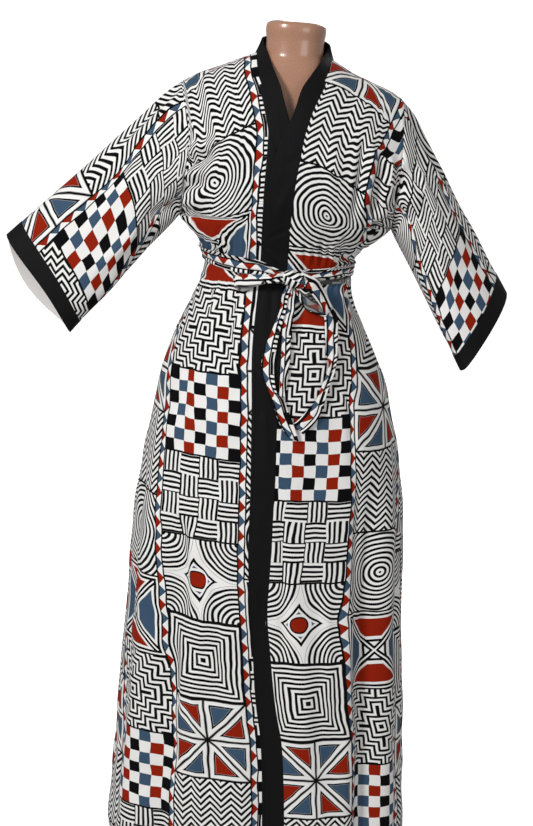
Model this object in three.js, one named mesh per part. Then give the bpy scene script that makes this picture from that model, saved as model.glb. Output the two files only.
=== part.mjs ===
// A long printed robe with black bands and a tied belt, worn by a limbless dress form on a stand.
// Millimetres, +Z up, the wearer faces -Y and the wearer's left is +X.
// The origin is the middle of the stand's underside, on the floor.
import * as THREE from 'three';

// ---------- driving dimensions ----------
const CLOTH = 1.6; // wall of every panel
const SEAM = 0.3; // gap where two pieces meet
const PANEL_SEAM = 0.2; // half of the gap at side and shoulder seams, which lie in the plane y = 0
const OVERLAP = 2.8; // how far the wearer's left front lies out over the right one
const OVERLAP_FROM = 6; // the overlap fades beside its band, from this far to its reach
const OVERLAP_REACH = 60;
const OVERLAP_TOP = 1530; // it closes below the shoulder, over the height that follows
const OVERLAP_FADE = 70;
const HEM = 60;
const UNDERARM = 1258;
const CHEST = 1330; // above this height the panels round over towards the shoulders
const SHOULDER_ROUND = 2.2; // exponent of that rounding
const BODY_ROUND = 2.2; // exponent of a level section
const FORM_ROUND = 2.3; // the same for the dress form
const BELT = 28; // width of the belt
const POLE_RADIUS = 16;
const BASE_RADIUS = 170;
const BASE_TOP = 16;

const COLOURS = {
  print: { color: 0xb9b4ad, roughness: 0.85, metalness: 0 },
  black: { color: 0x141416, roughness: 0.8, metalness: 0 },
  skin: { color: 0xc08a6e, roughness: 0.3, metalness: 0 },
  metal: { color: 0x9a9da0, roughness: 0.35, metalness: 1 },
};

// Level sections of the robe: the middle and half of the width, and the depth before and behind.
const BODY = [
  { z: 60, middle: 22, half: 286, front: 188, back: 176 },
  { z: 200, middle: 19, half: 278, front: 184, back: 171 },
  { z: 360, middle: 14, half: 268, front: 178, back: 165 },
  { z: 540, middle: 9, half: 257, front: 171, back: 159 },
  { z: 690, middle: 5, half: 250, front: 165, back: 153 },
  { z: 830, middle: 3, half: 234, front: 157, back: 147 },
  { z: 930, middle: -2, half: 215, front: 150, back: 141 },
  { z: 985, middle: -6, half: 201, front: 145, back: 135 },
  { z: 1030, middle: -9, half: 184, front: 138, back: 127 },
  { z: 1076, middle: -12, half: 164, front: 129, back: 117 },
  { z: 1110, middle: -13, half: 148, front: 121, back: 108 },
  { z: 1150, middle: -11, half: 135, front: 112, back: 98 },
  { z: 1180, middle: -10, half: 132, front: 108, back: 94 },
  { z: 1205, middle: -10, half: 141, front: 110, back: 95 },
  { z: 1230, middle: -8, half: 160, front: 116, back: 98 },
  { z: 1258, middle: -3, half: 190, front: 123, back: 102 },
  { z: 1300, middle: -1, half: 213, front: 131, back: 107 },
  { z: 1350, middle: 0, half: 222, front: 134, back: 110 },
  { z: 1430, middle: 0, half: 226, front: 129, back: 111 },
  { z: 1580, middle: 0, half: 228, front: 120, back: 108 },
];

// Height of the shoulder seam over the width, with the roof line carried on across the neck.
const SHOULDER = [
  { x: -240, z: 1470 },
  { x: -202, z: 1489 },
  { x: -171, z: 1506 },
  { x: -133, z: 1521 },
  { x: -102, z: 1535 },
  { x: -76, z: 1546 },
  { x: 0, z: 1576 },
  { x: 64, z: 1541 },
  { x: 93, z: 1525 },
  { x: 131, z: 1510 },
  { x: 168, z: 1495 },
  { x: 190, z: 1483 },
  { x: 240, z: 1462 },
];

// How far from the middle plane each armhole seam stands, by height.
const ARMHOLE = [
  { z: 1250, right: 184, left: 183 },
  { z: 1258, right: 187, left: 187 },
  { z: 1290, right: 187, left: 187 },
  { z: 1338, right: 182, left: 190 },
  { z: 1391, right: 179, left: 193 },
  { z: 1425, right: 184, left: 193 },
  { z: 1461, right: 194, left: 192 },
  { z: 1489, right: 202, left: 190 },
];

// The bands down the fronts: seam with the panel, free edge, and how much higher the free edge is.
const BAND_RIGHT = [
  { z: 60, seam: 38, edge: 74, rise: 0 },
  { z: 185, seam: 31, edge: 67, rise: 0 },
  { z: 322, seam: 19, edge: 54, rise: 0 },
  { z: 400, seam: 4, edge: 39, rise: 0 },
  { z: 480, seam: -6, edge: 30, rise: 0 },
  { z: 594, seam: -20, edge: 17, rise: 0 },
  { z: 672, seam: -27, edge: 11, rise: 0 },
  { z: 761, seam: -30, edge: 10, rise: 0 },
  { z: 946, seam: -39, edge: 4, rise: 0 },
  { z: 1045, seam: -45, edge: 0, rise: 0 },
  { z: 1125, seam: -43, edge: 1, rise: 0 },
  { z: 1186, seam: -41, edge: 4, rise: 0 },
  { z: 1308, seam: -43, edge: 4, rise: 0 },
  { z: 1377, seam: -42, edge: 5, rise: 0 },
  { z: 1411, seam: -42, edge: 3, rise: 2 },
  { z: 1440, seam: -48, edge: -8, rise: 5 },
  { z: 1465, seam: -55, edge: -18, rise: 6 },
  { z: 1490, seam: -63, edge: -28, rise: 7 },
  { z: 1511, seam: -70, edge: -40, rise: 10 },
  { z: 1525, seam: -74, edge: -51, rise: 16 },
  { z: 1546, seam: -77, edge: -65, rise: 28 },
];
const BAND_LEFT = [
  { z: 60, seam: 80, edge: 44, rise: 0 },
  { z: 185, seam: 72, edge: 37, rise: 0 },
  { z: 322, seam: 58, edge: 25, rise: 0 },
  { z: 400, seam: 43, edge: 10, rise: 0 },
  { z: 480, seam: 33, edge: 0, rise: 0 },
  { z: 594, seam: 19, edge: -14, rise: 0 },
  { z: 672, seam: 14, edge: -21, rise: 0 },
  { z: 761, seam: 13, edge: -24, rise: 0 },
  { z: 946, seam: 8, edge: -31, rise: 0 },
  { z: 1045, seam: 6, edge: -37, rise: 0 },
  { z: 1125, seam: 4, edge: -38, rise: 0 },
  { z: 1186, seam: 6, edge: -38, rise: 0 },
  { z: 1308, seam: 9, edge: -36, rise: 0 },
  { z: 1377, seam: 16, edge: -31, rise: 2 },
  { z: 1416, seam: 21, edge: -23, rise: 5 },
  { z: 1432, seam: 25, edge: -11, rise: 5 },
  { z: 1448, seam: 29, edge: -3, rise: 8 },
  { z: 1480, seam: 41, edge: 9, rise: 10 },
  { z: 1497, seam: 49, edge: 19, rise: 12 },
  { z: 1515, seam: 56, edge: 34, rise: 15 },
  { z: 1541, seam: 64, edge: 54, rise: 26 },
];

// The neckband behind: seam and free edge from the shoulder seam to the nape.
const NAPE = { y: 57, z: 1582 };
const NECKLINE_DROP = 38; // how far the neckline lies below the roof line at the nape

// Folds of the skirt: angle from the middle of the front (the wearer's left is positive) at the
// top and at the hem, the heights between which the fold runs, its width in degrees, and how far
// it stands out (a ridge) or in (a trough).
const FOLDS = [
  { top: -20, hem: -24, from: 1120, to: 720, width: 5, out: 5 },
  { top: -38, hem: -39, from: 790, to: -300, width: 6, out: -15 },
  { top: -55, hem: -58, from: 900, to: -300, width: 8, out: 10 },
  { top: -78, hem: -76, from: 960, to: -300, width: 7, out: -10 },
  { top: 8, hem: 22, from: 740, to: -300, width: 6, out: 9 },
  { top: -4, hem: 4, from: 700, to: -300, width: 5, out: -9 },
  { top: 33, hem: 34, from: 700, to: -300, width: 6, out: 7 },
  { top: 48, hem: 44, from: 860, to: -300, width: 5.5, out: -19 },
  { top: 60, hem: 58, from: 860, to: -300, width: 7, out: 10 },
  { top: 80, hem: 77, from: 980, to: -300, width: 7, out: -11 },
  { top: 104, hem: 102, from: 1000, to: -300, width: 8, out: 11 },
  { top: 122, hem: 121, from: 980, to: -300, width: 7, out: -15 },
  { top: 141, hem: 142, from: 900, to: -300, width: 8, out: 12 },
  { top: 160, hem: 161, from: 1000, to: -300, width: 7, out: -16 },
  { top: 181, hem: 180, from: 860, to: -300, width: 8, out: 12 },
  { top: 201, hem: 200, from: 960, to: -300, width: 7, out: -14 },
  { top: 222, hem: 220, from: 1000, to: -300, width: 8, out: 12 },
  { top: 241, hem: 241, from: 900, to: -300, width: 7, out: -15 },
  { top: 259, hem: 260, from: 980, to: -300, width: 7, out: 9 },
];
const FOLD_FADE = 260; // height over which a fold grows to its full depth

// Cuff mouths: middle, the vector to the top end of the fold and the vector to the front wall.
const CUFF_RIGHT = {
  middle: [-432, -70, 1122], toTop: [-61, 10, 79], toFront: [5, -33, -8], depth: 38,
};
const CUFF_LEFT = {
  middle: [367, -36, 1089], toTop: [39, 58, 65], toFront: [12, -30, 4], depth: 38,
};

// The dress form: level sections, with a rounded cap at the neck and a flat end below.
const FORM = [
  { z: 856, middle: -4, half: 158, front: 118, back: 114 },
  { z: 866, middle: -4, half: 165, front: 125, back: 121 },
  { z: 930, middle: -4, half: 169, front: 128, back: 124 },
  { z: 1000, middle: -6, half: 160, front: 122, back: 116 },
  { z: 1060, middle: -9, half: 143, front: 113, back: 103 },
  { z: 1110, middle: -10, half: 126, front: 101, back: 88 },
  { z: 1165, middle: -10, half: 116, front: 91, back: 78 },
  { z: 1205, middle: -9, half: 121, front: 95, back: 80 },
  { z: 1250, middle: -8, half: 143, front: 104, back: 86 },
  { z: 1300, middle: -7, half: 163, front: 114, back: 92 },
  { z: 1340, middle: -7, half: 171, front: 117, back: 95 },
  { z: 1400, middle: -7, half: 176, front: 103, back: 96 },
  { z: 1445, middle: -7, half: 176, front: 89, back: 92 },
  { z: 1472, middle: -7, half: 169, front: 78, back: 79 },
  { z: 1490, middle: -7, half: 153, front: 72, back: 70 },
  { z: 1505, middle: -8, half: 122, front: 66, back: 62 },
  { z: 1518, middle: -8, half: 89, front: 62, back: 56 },
  { z: 1531, middle: -8, half: 63, front: 57, back: 51 },
  { z: 1548, middle: -7, half: 51, front: 51, back: 48 },
  { z: 1570, middle: -7, half: 51, front: 50, back: 48 },
  { z: 1590, middle: -7, half: 53, front: 52, back: 50 },
  { z: 1598, middle: -7, half: 52, front: 51, back: 48 },
  { z: 1603, middle: -7, half: 46, front: 45, back: 42 },
  { z: 1606, middle: -7, half: 31, front: 30, back: 28 },
];
const FORM_SIDES = 26;

// ---------- numbers from tables ----------
// A column of a table at any height: a smooth curve that never swings past its rows.
function curve(table, key, name) {
  const at = table.map((row) => row[key]);
  const value = table.map((row) => row[name]);
  const last = at.length - 1;
  const chord = at.slice(1).map((a, i) => (value[i + 1] - value[i]) / (a - at[i]));
  const slope = at.map((_, i) => {
    if (i === 0) return chord[0];
    if (i === last) return chord[last - 1];
    const product = chord[i - 1] * chord[i];
    return product <= 0 ? 0 : (2 * product) / (chord[i - 1] + chord[i]);
  });
  return (where) => {
    const w = Math.min(Math.max(where, at[0]), at[last]);
    let i = 0;
    while (i < last - 1 && w > at[i + 1]) i += 1;
    const span = at[i + 1] - at[i];
    const t = (w - at[i]) / span;
    const rise = (3 - 2 * t) * t * t;
    const lean = slope[i] * t * (1 - t) ** 2 - slope[i + 1] * t * t * (1 - t);
    return value[i] + rise * (value[i + 1] - value[i]) + span * lean;
  };
}
const smooth = (t) => {
  const u = Math.min(Math.max(t, 0), 1);
  return u * u * (3 - 2 * u);
};
const mix = (a, b, t) => a + (b - a) * t;
const steps = (count, from = 0, to = 1) =>
  Array.from({ length: count + 1 }, (_, i) => mix(from, to, i / count));

const middle = curve(BODY, 'z', 'middle');
const half = curve(BODY, 'z', 'half');
const depthOf = { front: curve(BODY, 'z', 'front'), back: curve(BODY, 'z', 'back') };
const shoulder = curve(SHOULDER, 'x', 'z');
const armhole = { right: curve(ARMHOLE, 'z', 'right'), left: curve(ARMHOLE, 'z', 'left') };

// ---------- the robe's surface ----------
// Angle of a point round the body: 0 at the middle of the front, 90 at the wearer's left side.
const angleAt = (x, z) => {
  const across = Math.min(Math.abs(x - middle(z)) / half(z), 1);
  const angle = THREE.MathUtils.radToDeg(Math.asin(across ** (BODY_ROUND / 2)));
  return x < middle(z) ? -angle : angle;
};

function foldAt(angle, z) {
  let out = 0;
  for (const fold of FOLDS) {
    const down = (fold.from - z) / (fold.from - HEM);
    const at = mix(fold.top, fold.hem, down);
    const turn = THREE.MathUtils.euclideanModulo(angle - at + 180, 360) - 180;
    const grow = smooth((fold.from - z) / FOLD_FADE) * smooth((z - fold.to) / FOLD_FADE);
    out += fold.out * grow * Math.exp(-((turn / fold.width) ** 2));
  }
  return out;
}

// Depth of the cloth at a place seen from the front, rounding over to nothing at the shoulder.
function depthAt(face, x, z) {
  const across = Math.min(Math.abs(x - middle(z)) / half(z), 1);
  const level = (1 - across ** BODY_ROUND) ** (1 / BODY_ROUND);
  const up = Math.min(Math.max((z - CHEST) / (shoulder(x) - CHEST), 0), 1);
  return depthOf[face](z) * level * (1 - up ** SHOULDER_ROUND) ** (1 / SHOULDER_ROUND);
}

// A point of the robe: folds push it out along its angle, and the left front lies over the right.
function robePoint(face, x, z, lift = 0) {
  const sign = face === 'front' ? -1 : 1;
  const flat = angleAt(x, z);
  const angle = face === 'front' ? flat : 180 - flat;
  const out = foldAt(angle, z) + lift;
  const turn = THREE.MathUtils.degToRad(angle);
  const y = sign * depthAt(face, x, z);
  return new THREE.Vector3(x + out * Math.sin(turn), y - out * Math.cos(turn), z);
}

// The left front stands out by the overlap near its band, and comes back to the body beside it.
const overlapLift = (x, z, seam) =>
  OVERLAP * (1 - smooth((x - seam - OVERLAP_FROM) / OVERLAP_REACH))
    * smooth((OVERLAP_TOP - z) / OVERLAP_FADE);

// Heights of the rows: level below the underarm, then shares of the way up to the shoulder.
const LOW_ROWS = [
  60, 150, 240, 330, 420, 510, 600, 690, 775, 855, 930, 995, 1050, 1095, 1135, 1162, 1184,
  1208, 1234, 1258,
];
const HIGH_ROWS = steps(9).slice(1).map((v) => Math.sin((v * Math.PI) / 2));

// Height of the row at a place: share 0 is the underarm and share 1 the shoulder seam.
const heightAt = (x, share) => mix(UNDERARM, shoulder(x), share);

// A row of the front or back from one side to the other, by equal turns round the body.
function robeRow(face, count, share, z, from, to, liftAt) {
  const first = angleAt(from, z);
  const last = angleAt(to, z);
  return steps(count, first, last).map((angle, i) => {
    const turn = Math.abs(Math.sin(THREE.MathUtils.degToRad(angle)));
    let x = middle(z) + Math.sign(angle) * half(z) * turn ** (2 / BODY_ROUND);
    if (i === 0) x = from;
    if (i === count) x = to;
    const height = share === null ? z : heightAt(x, share);
    return robePoint(face, x, height, liftAt(x, height));
  });
}

// The outer end of a row: the side seam below the underarm, and the armhole above it.
const sideEnd = (side, z) => {
  const sign = side === 'left' ? 1 : -1;
  if (z <= UNDERARM) return middle(z) + sign * half(z);
  return sign * Math.min(armhole[side](z), half(z));
};
// A row's height at its end depends on where the end is, so the step is taken until it settles.
const SETTLE_STEPS = 12;
const armholePlace = (side, share) => {
  let z = mix(UNDERARM, ARMHOLE.at(-1).z, share);
  for (let k = 0; k < SETTLE_STEPS; k += 1) z = heightAt(sideEnd(side, z), share);
  return z;
};

// Where a band's seam crosses a row.
const seamX = {
  right: curve(BAND_RIGHT, 'z', 'seam'),
  left: curve(BAND_LEFT, 'z', 'seam'),
};
const seamPlace = (side, share) => {
  let z = mix(UNDERARM, BAND_LEFT.at(-1).z, share);
  for (let k = 0; k < SETTLE_STEPS; k += 1) z = heightAt(seamX[side](z), share);
  return z;
};

// ---------- walls from grids ----------
// Directions out of a grid of points, by the cross product of its two ways.
function normals(grid, closed) {
  const rows = grid.length;
  const count = grid[0].length;
  return grid.map((row, i) => row.map((_, j) => {
    const up = grid[Math.min(i + 1, rows - 1)][j].clone().sub(grid[Math.max(i - 1, 0)][j]);
    const after = closed ? (j + 1) % count : Math.min(j + 1, count - 1);
    const before = closed ? (j + count - 1) % count : Math.max(j - 1, 0);
    const along = row[after].clone().sub(row[before]);
    return along.cross(up).normalize();
  }));
}

// A closed mesh facing out, whichever way its triangles were wound.
function solid(vertices, triangles) {
  let volume = 0;
  for (const [a, b, c] of triangles) {
    volume += vertices[a].dot(vertices[b].clone().cross(vertices[c]));
  }
  const index = triangles.flatMap(([a, b, c]) => (volume < 0 ? [a, c, b] : [a, b, c]));
  const geometry = new THREE.BufferGeometry();
  geometry.setAttribute(
    'position',
    new THREE.Float32BufferAttribute(vertices.flatMap((v) => [v.x, v.y, v.z]), 3),
  );
  geometry.setIndex(index);
  geometry.computeVertexNormals();
  return geometry;
}

// Cloth over a grid: an inner sheet at the points, an outer one at the points plus their
// thickness vectors, and a rim along the open edges.
function wall(grid, thickness, closed = false) {
  const rows = grid.length;
  const count = grid[0].length;
  const outer = rows * count;
  const vertices = [
    ...grid.flat(),
    ...grid.flatMap((row, i) => row.map((p, j) => p.clone().add(thickness[i][j]))),
  ];
  const id = (i, j) => i * count + (j % count);
  const triangles = [];
  const quad = (a, b, c, d) => triangles.push([a, b, c], [a, c, d]);
  const across = closed ? count : count - 1;
  for (let i = 0; i < rows - 1; i += 1) {
    for (let j = 0; j < across; j += 1) {
      const [a, b, c, d] = [id(i, j), id(i, j + 1), id(i + 1, j + 1), id(i + 1, j)];
      quad(a + outer, b + outer, c + outer, d + outer);
      quad(a, d, c, b);
    }
  }
  for (let j = 0; j < across; j += 1) {
    quad(id(0, j + 1), id(0, j + 1) + outer, id(0, j) + outer, id(0, j));
    const top = rows - 1;
    quad(id(top, j + 1), id(top, j), id(top, j) + outer, id(top, j + 1) + outer);
  }
  if (!closed) {
    for (let i = 0; i < rows - 1; i += 1) {
      quad(id(i + 1, 0), id(i, 0), id(i, 0) + outer, id(i + 1, 0) + outer);
      const end = count - 1;
      quad(id(i + 1, end), id(i + 1, end) + outer, id(i, end) + outer, id(i, end));
    }
  }
  return solid(vertices, triangles);
}

// A lofted solid with flat ends, from rings of equal length.
function loft(rings) {
  const count = rings[0].length;
  const vertices = rings.flat();
  const triangles = [];
  for (let i = 0; i < rings.length - 1; i += 1) {
    for (let j = 0; j < count; j += 1) {
      const next = (j + 1) % count;
      const [a, b] = [i * count + j, i * count + next];
      triangles.push([a, b, b + count], [a, b + count, a + count]);
    }
  }
  for (let j = 1; j < count - 1; j += 1) {
    const top = (rings.length - 1) * count;
    triangles.push([0, j + 1, j], [top, top + j, top + j + 1]);
  }
  return solid(vertices, triangles);
}

// ---------- panels ----------
// Shared thickness where two sheets meet at an angle, so that their walls end on one plane.
function mitre(one, other) {
  const sum = one.clone().add(other);
  return sum.multiplyScalar(CLOTH / Math.max(1 + one.dot(other), 0.5));
}

// The way to push a sheet off its neighbour at a shared seam point, from the next points inward.
const awayFrom = (seam, inward, otherInward) => {
  const apart = inward.clone().sub(seam).normalize();
  return apart.sub(otherInward.clone().sub(seam).normalize()).setLength(SEAM);
};

// A panel's grid, its unit directions out, and its thickness vectors.
function panel(grid, flip = 1) {
  const out = normals(grid, false);
  out.flat().forEach((n) => n.multiplyScalar(flip));
  return { grid, out, thick: out.map((row) => row.map((n) => n.clone().multiplyScalar(CLOTH))) };
}

// Edges on the plane y = 0 keep their thickness in that plane and move off it by half a seam.
function settle(piece, face, onPlane) {
  const shift = face === 'front' ? -PANEL_SEAM : PANEL_SEAM;
  piece.grid.forEach((row, i) => row.forEach((p, j) => {
    if (onPlane(i, j)) {
      p.y = 0;
      piece.thick[i][j].y = 0;
      piece.thick[i][j].setLength(CLOTH);
      piece.out[i][j].y = 0;
      piece.out[i][j].normalize();
    }
    p.y += shift;
  }));
}

const rowCount = LOW_ROWS.length + HIGH_ROWS.length;
const LOW = LOW_ROWS.length;

// A front: from its band's seam round to the side seam or armhole.
function makeFront(side) {
  const columns = 12;
  const seam = seamX[side];
  const sign = side === 'left' ? 1 : -1;
  const lift = (x, z) => (side === 'left' ? overlapLift(x, z, seam(z)) : 0);
  const grid = [];
  for (const z of LOW_ROWS) {
    grid.push(robeRow('front', columns, null, z, seam(z), sideEnd(side, z), lift));
  }
  for (const share of HIGH_ROWS) {
    const outer = armholePlace(side, share);
    const inner = seamPlace(side, share);
    grid.push(robeRow('front', columns, share, outer, seam(inner), sideEnd(side, outer), lift));
  }
  const piece = panel(grid, sign);
  const top = rowCount - 1;
  settle(piece, 'front', (i, j) => i === top || (i < LOW && j === columns));
  return piece;
}

// The neckline behind, from the right shoulder point to the left one.
const NECK_STEPS = 4;
const NECK_RIGHT = BAND_RIGHT.at(-1).seam;
const NECK_LEFT = BAND_LEFT.at(-1).seam;
const neckXs = [...steps(NECK_STEPS, NECK_RIGHT, 0), ...steps(NECK_STEPS, 0, NECK_LEFT).slice(1)];
const neckline = (x) => {
  const share = Math.min(Math.abs(x / (x < 0 ? NECK_RIGHT : NECK_LEFT)), 1);
  return shoulder(x) - NECKLINE_DROP * (1 - share ** 2);
};

// The back: side seam to side seam below, armhole to armhole above, with the neckline on top.
function makeBack() {
  const outerColumns = 9;
  const grid = [];
  const rowXs = (z, right, left, neck) => {
    const turnX = (angle) => {
      const turn = Math.abs(Math.sin(THREE.MathUtils.degToRad(angle)));
      return middle(z) + Math.sign(angle) * half(z) * turn ** (2 / BODY_ROUND);
    };
    const a = steps(outerColumns, angleAt(right, z), angleAt(NECK_RIGHT * neck, z)).map(turnX);
    const b = steps(outerColumns, angleAt(NECK_LEFT * neck, z), angleAt(left, z)).map(turnX);
    a[0] = right;
    b[outerColumns] = left;
    return [...a.slice(0, -1), ...neckXs.map((x) => x * neck), ...b.slice(1)];
  };
  for (const z of LOW_ROWS) {
    const spread = mix(1.5, 1, smooth((z - HEM) / (UNDERARM - HEM)));
    const xs = rowXs(z, sideEnd('right', z), sideEnd('left', z), spread);
    grid.push(xs.map((x) => robePoint('back', x, z)));
  }
  for (const share of HIGH_ROWS) {
    const right = armholePlace('right', share);
    const left = armholePlace('left', share);
    const xs = rowXs((right + left) / 2, sideEnd('right', right), sideEnd('left', left), 1);
    grid.push(xs.map((x) => robePoint('back', x, mix(UNDERARM, neckline(x), share))));
  }
  const piece = panel(grid, -1);
  const count = grid[0].length - 1;
  const neckFrom = outerColumns;
  const neckTo = outerColumns + 2 * NECK_STEPS;
  const top = rowCount - 1;
  settle(piece, 'back', (i, j) =>
    (i === top && (j <= neckFrom || j >= neckTo)) || (i < LOW && (j === 0 || j === count)));
  return { ...piece, neckFrom, neckTo };
}

// The back is sewn up its middle, so its halves share the middle column and part by a seam.
function halfBack(side) {
  const last = back.grid[0].length - 1;
  const [from, to] = side === 'right' ? [0, last / 2] : [last / 2, last];
  const part = (rows) => rows.map((row) => row.slice(from, to + 1).map((v) => v.clone()));
  const grid = part(back.grid);
  const shift = side === 'right' ? -SEAM / 2 : SEAM / 2;
  grid.forEach((row) => {
    row[side === 'right' ? last / 2 : 0].x += shift;
  });
  return wall(grid, part(back.thick));
}

// ---------- bands ----------
const BAND_COLUMNS = 3;

// A band from the hem up the front and round to the nape, sharing its panels' seam points.
function makeBand(side, front, back) {
  const table = side === 'right' ? BAND_RIGHT : BAND_LEFT;
  const sign = side === 'right' ? 1 : -1;
  const edge = curve(table, 'z', 'edge');
  const rise = curve(table, 'z', 'rise');
  const seam = seamX[side];
  const grid = [];
  const seams = [];
  for (let i = 0; i < rowCount; i += 1) {
    const start = front.grid[i][0];
    const z = start.z;
    const lift = side === 'left' ? overlapLift(seam(z), z, seam(z)) : 0;
    grid.push(steps(BAND_COLUMNS).map((t) => {
      if (t === 0) return start.clone();
      const height = z + rise(z) * t;
      const point = robePoint('front', mix(seam(z), edge(z), t), height, lift);
      point.y -= PANEL_SEAM;
      return point;
    }));
    seams.push([front, i, 0]);
  }
  const last = table.at(-1);
  const first = side === 'right' ? back.neckFrom : back.neckTo;
  for (let k = 1; k <= NECK_STEPS; k += 1) {
    const j = first + sign * k;
    const start = back.grid[rowCount - 1][j];
    const turn = (k / NECK_STEPS) * (Math.PI / 2);
    const top = new THREE.Vector3(
      last.edge * Math.cos(turn),
      NAPE.y * Math.sin(turn),
      mix(last.z + last.rise, NAPE.z, Math.sin(turn)),
    );
    grid.push(steps(BAND_COLUMNS).map((t) => start.clone().lerp(top, t)));
    seams.push([back, rowCount - 1, j]);
  }
  const piece = panel(grid, sign);
  grid.forEach((row, i) => {
    const [neighbour, a, b] = seams[i];
    const shared = mitre(piece.out[i][0], neighbour.out[a][b]);
    const inward = neighbour === front ? front.grid[a][1] : back.grid[a - 1][b];
    if (i === rowCount - 1) {
      shared.y = 0;
      back.thick[i][first].copy(shared);
    }
    neighbour.thick[a][b].copy(shared);
    piece.thick[i][0].copy(shared);
    row[0].add(awayFrom(row[0], row[1], inward));
  });
  const end = grid.length - 1;
  grid[end].forEach((p, j) => {
    piece.thick[end][j].x = 0;
    piece.thick[end][j].setLength(CLOTH);
    p.x -= sign * (SEAM / 2);
  });
  return piece;
}

// ---------- sleeves ----------
const SLEEVE_ROWS = 6;
const CUFF_ROWS = 1;

// Sleeve and cuff: rings from the armhole to the mouth, a flat tube at its end.
function makeSleeve(side, front, back, cuff) {
  const rim = [];
  const backColumn = side === 'right' ? 0 : back.grid[0].length - 1;
  for (let i = LOW - 1; i < rowCount; i += 1) rim.push([front, i, front.grid[0].length - 1]);
  for (let i = rowCount - 2; i >= LOW; i -= 1) rim.push([back, i, backColumn]);
  const start = rim.map(([piece, i, j]) => piece.grid[i][j].clone());
  const tip = rowCount - LOW;
  start[0].y = 0;
  start[tip].y = 0;
  const at = new THREE.Vector3(...cuff.middle);
  const toTop = new THREE.Vector3(...cuff.toTop);
  const toFront = new THREE.Vector3(...cuff.toFront);
  const mouth = start.map((_, k) => {
    const turn = (Math.PI * k) / tip;
    const point = at.clone().addScaledVector(toTop, -Math.cos(turn));
    return point.addScaledVector(toFront, Math.sin(turn));
  });
  const length = at.distanceTo(start[0].clone().lerp(start[tip], 0.5));
  const seamAt = 1 - cuff.depth / length;
  const ring = (t) => start.map((p, k) => p.clone().lerp(mouth[k], t));
  const shares = steps(SLEEVE_ROWS, 0, seamAt);
  const sleeve = shares.map(ring);
  const gap = SEAM / length;
  const band = steps(CUFF_ROWS, seamAt + gap, 1).map(ring);
  const flip = side === 'right' ? 1 : -1;
  const finish = (grid) => {
    const out = normals(grid, true);
    out.flat().forEach((n) => n.multiplyScalar(flip));
    return { grid, out, thick: out.map((row) => row.map((n) => n.clone().setLength(CLOTH))) };
  };
  const tube = finish(sleeve);
  const cuffPiece = finish(band);
  cuffPiece.thick[0].forEach((v, k) => v.copy(tube.thick[SLEEVE_ROWS][k]));
  rim.forEach(([piece, i, j], k) => {
    const shared = mitre(tube.out[0][k], piece.out[i][j]);
    if (k === 0 || k === tip) shared.y = 0;
    piece.thick[i][j].copy(shared);
    tube.thick[0][k].copy(shared);
    const inner = piece.grid[i][j === 0 ? 1 : j - 1];
    tube.grid[0][k].add(awayFrom(tube.grid[0][k], tube.grid[1][k], inner));
  });
  for (const j of [0, tip]) {
    const other = j === 0 ? LOW - 1 : rowCount - 1;
    back.thick[other][backColumn].copy(tube.thick[0][j]);
  }
  return { tube, cuffPiece };
}

// ---------- belt ----------
// Height of the belt's middle round the waist, by angle.
const BELT_PATH = [
  { angle: -180, z: 1182 },
  { angle: -90, z: 1175 },
  { angle: -45, z: 1179 },
  { angle: -12, z: 1177 },
  { angle: 6, z: 1171 },
  { angle: 40, z: 1177 },
  { angle: 90, z: 1171 },
  { angle: 180, z: 1182 },
];
const BELT_CLEAR = 3.2; // from the panel's inner face to the belt's
const LAP_UNDER_BELT = { from: -30, to: 8 }; // angles where the left front's band lies under it
const beltHeight = curve(BELT_PATH, 'angle', 'z');

function makeBeltWrap() {
  const count = 40;
  const grid = steps(1, -BELT / 2, BELT / 2).map((up) =>
    steps(count, -180, 180).slice(0, -1).map((angle) => {
      const z = beltHeight(angle) + up;
      const turn = THREE.MathUtils.degToRad(angle);
      const face = Math.abs(angle) > 90 ? 'back' : 'front';
      const across = Math.abs(Math.sin(turn)) ** (2 / BODY_ROUND);
      const x = middle(z) + Math.sign(angle) * half(z) * across;
      const lift = face === 'front' ? overlapLift(x, z, seamX.left(z)) : 0;
      const level = Math.min(Math.abs(x - middle(z)) / half(z), 1);
      const sign = face === 'front' ? -1 : 1;
      const depth = depthOf[face](z) * (1 - level ** BODY_ROUND) ** (1 / BODY_ROUND);
      const overLap = angle > LAP_UNDER_BELT.from && angle < LAP_UNDER_BELT.to;
      const over = BELT_CLEAR + Math.max(lift, overLap ? OVERLAP : 0);
      return new THREE.Vector3(
        x + over * Math.sin(turn),
        sign * (depth + PANEL_SEAM) - over * Math.cos(turn),
        z,
      );
    }));
  const out = normals(grid, true);
  return wall(grid, out.map((row) => row.map((n) => n.setLength(CLOTH))), true);
}

// A strip of belt along a path: each row gives a place, the strip's width there, and the way its
// width points.
function strip(rows) {
  const points = rows.map((row) => new THREE.Vector3(...row.at));
  const grid = rows.map((row, i) => {
    const wide = new THREE.Vector3(...row.across).setLength(row.width / 2);
    return [points[i].clone().sub(wide), points[i].clone().add(wide)];
  });
  const thick = rows.map((row, i) => {
    const before = points[Math.max(i - 1, 0)];
    const along = points[Math.min(i + 1, points.length - 1)].clone().sub(before);
    const out = along.cross(new THREE.Vector3(...row.across)).setLength(row.thick ?? 2);
    return [out, out.clone()];
  });
  return wall(grid, thick);
}

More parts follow.
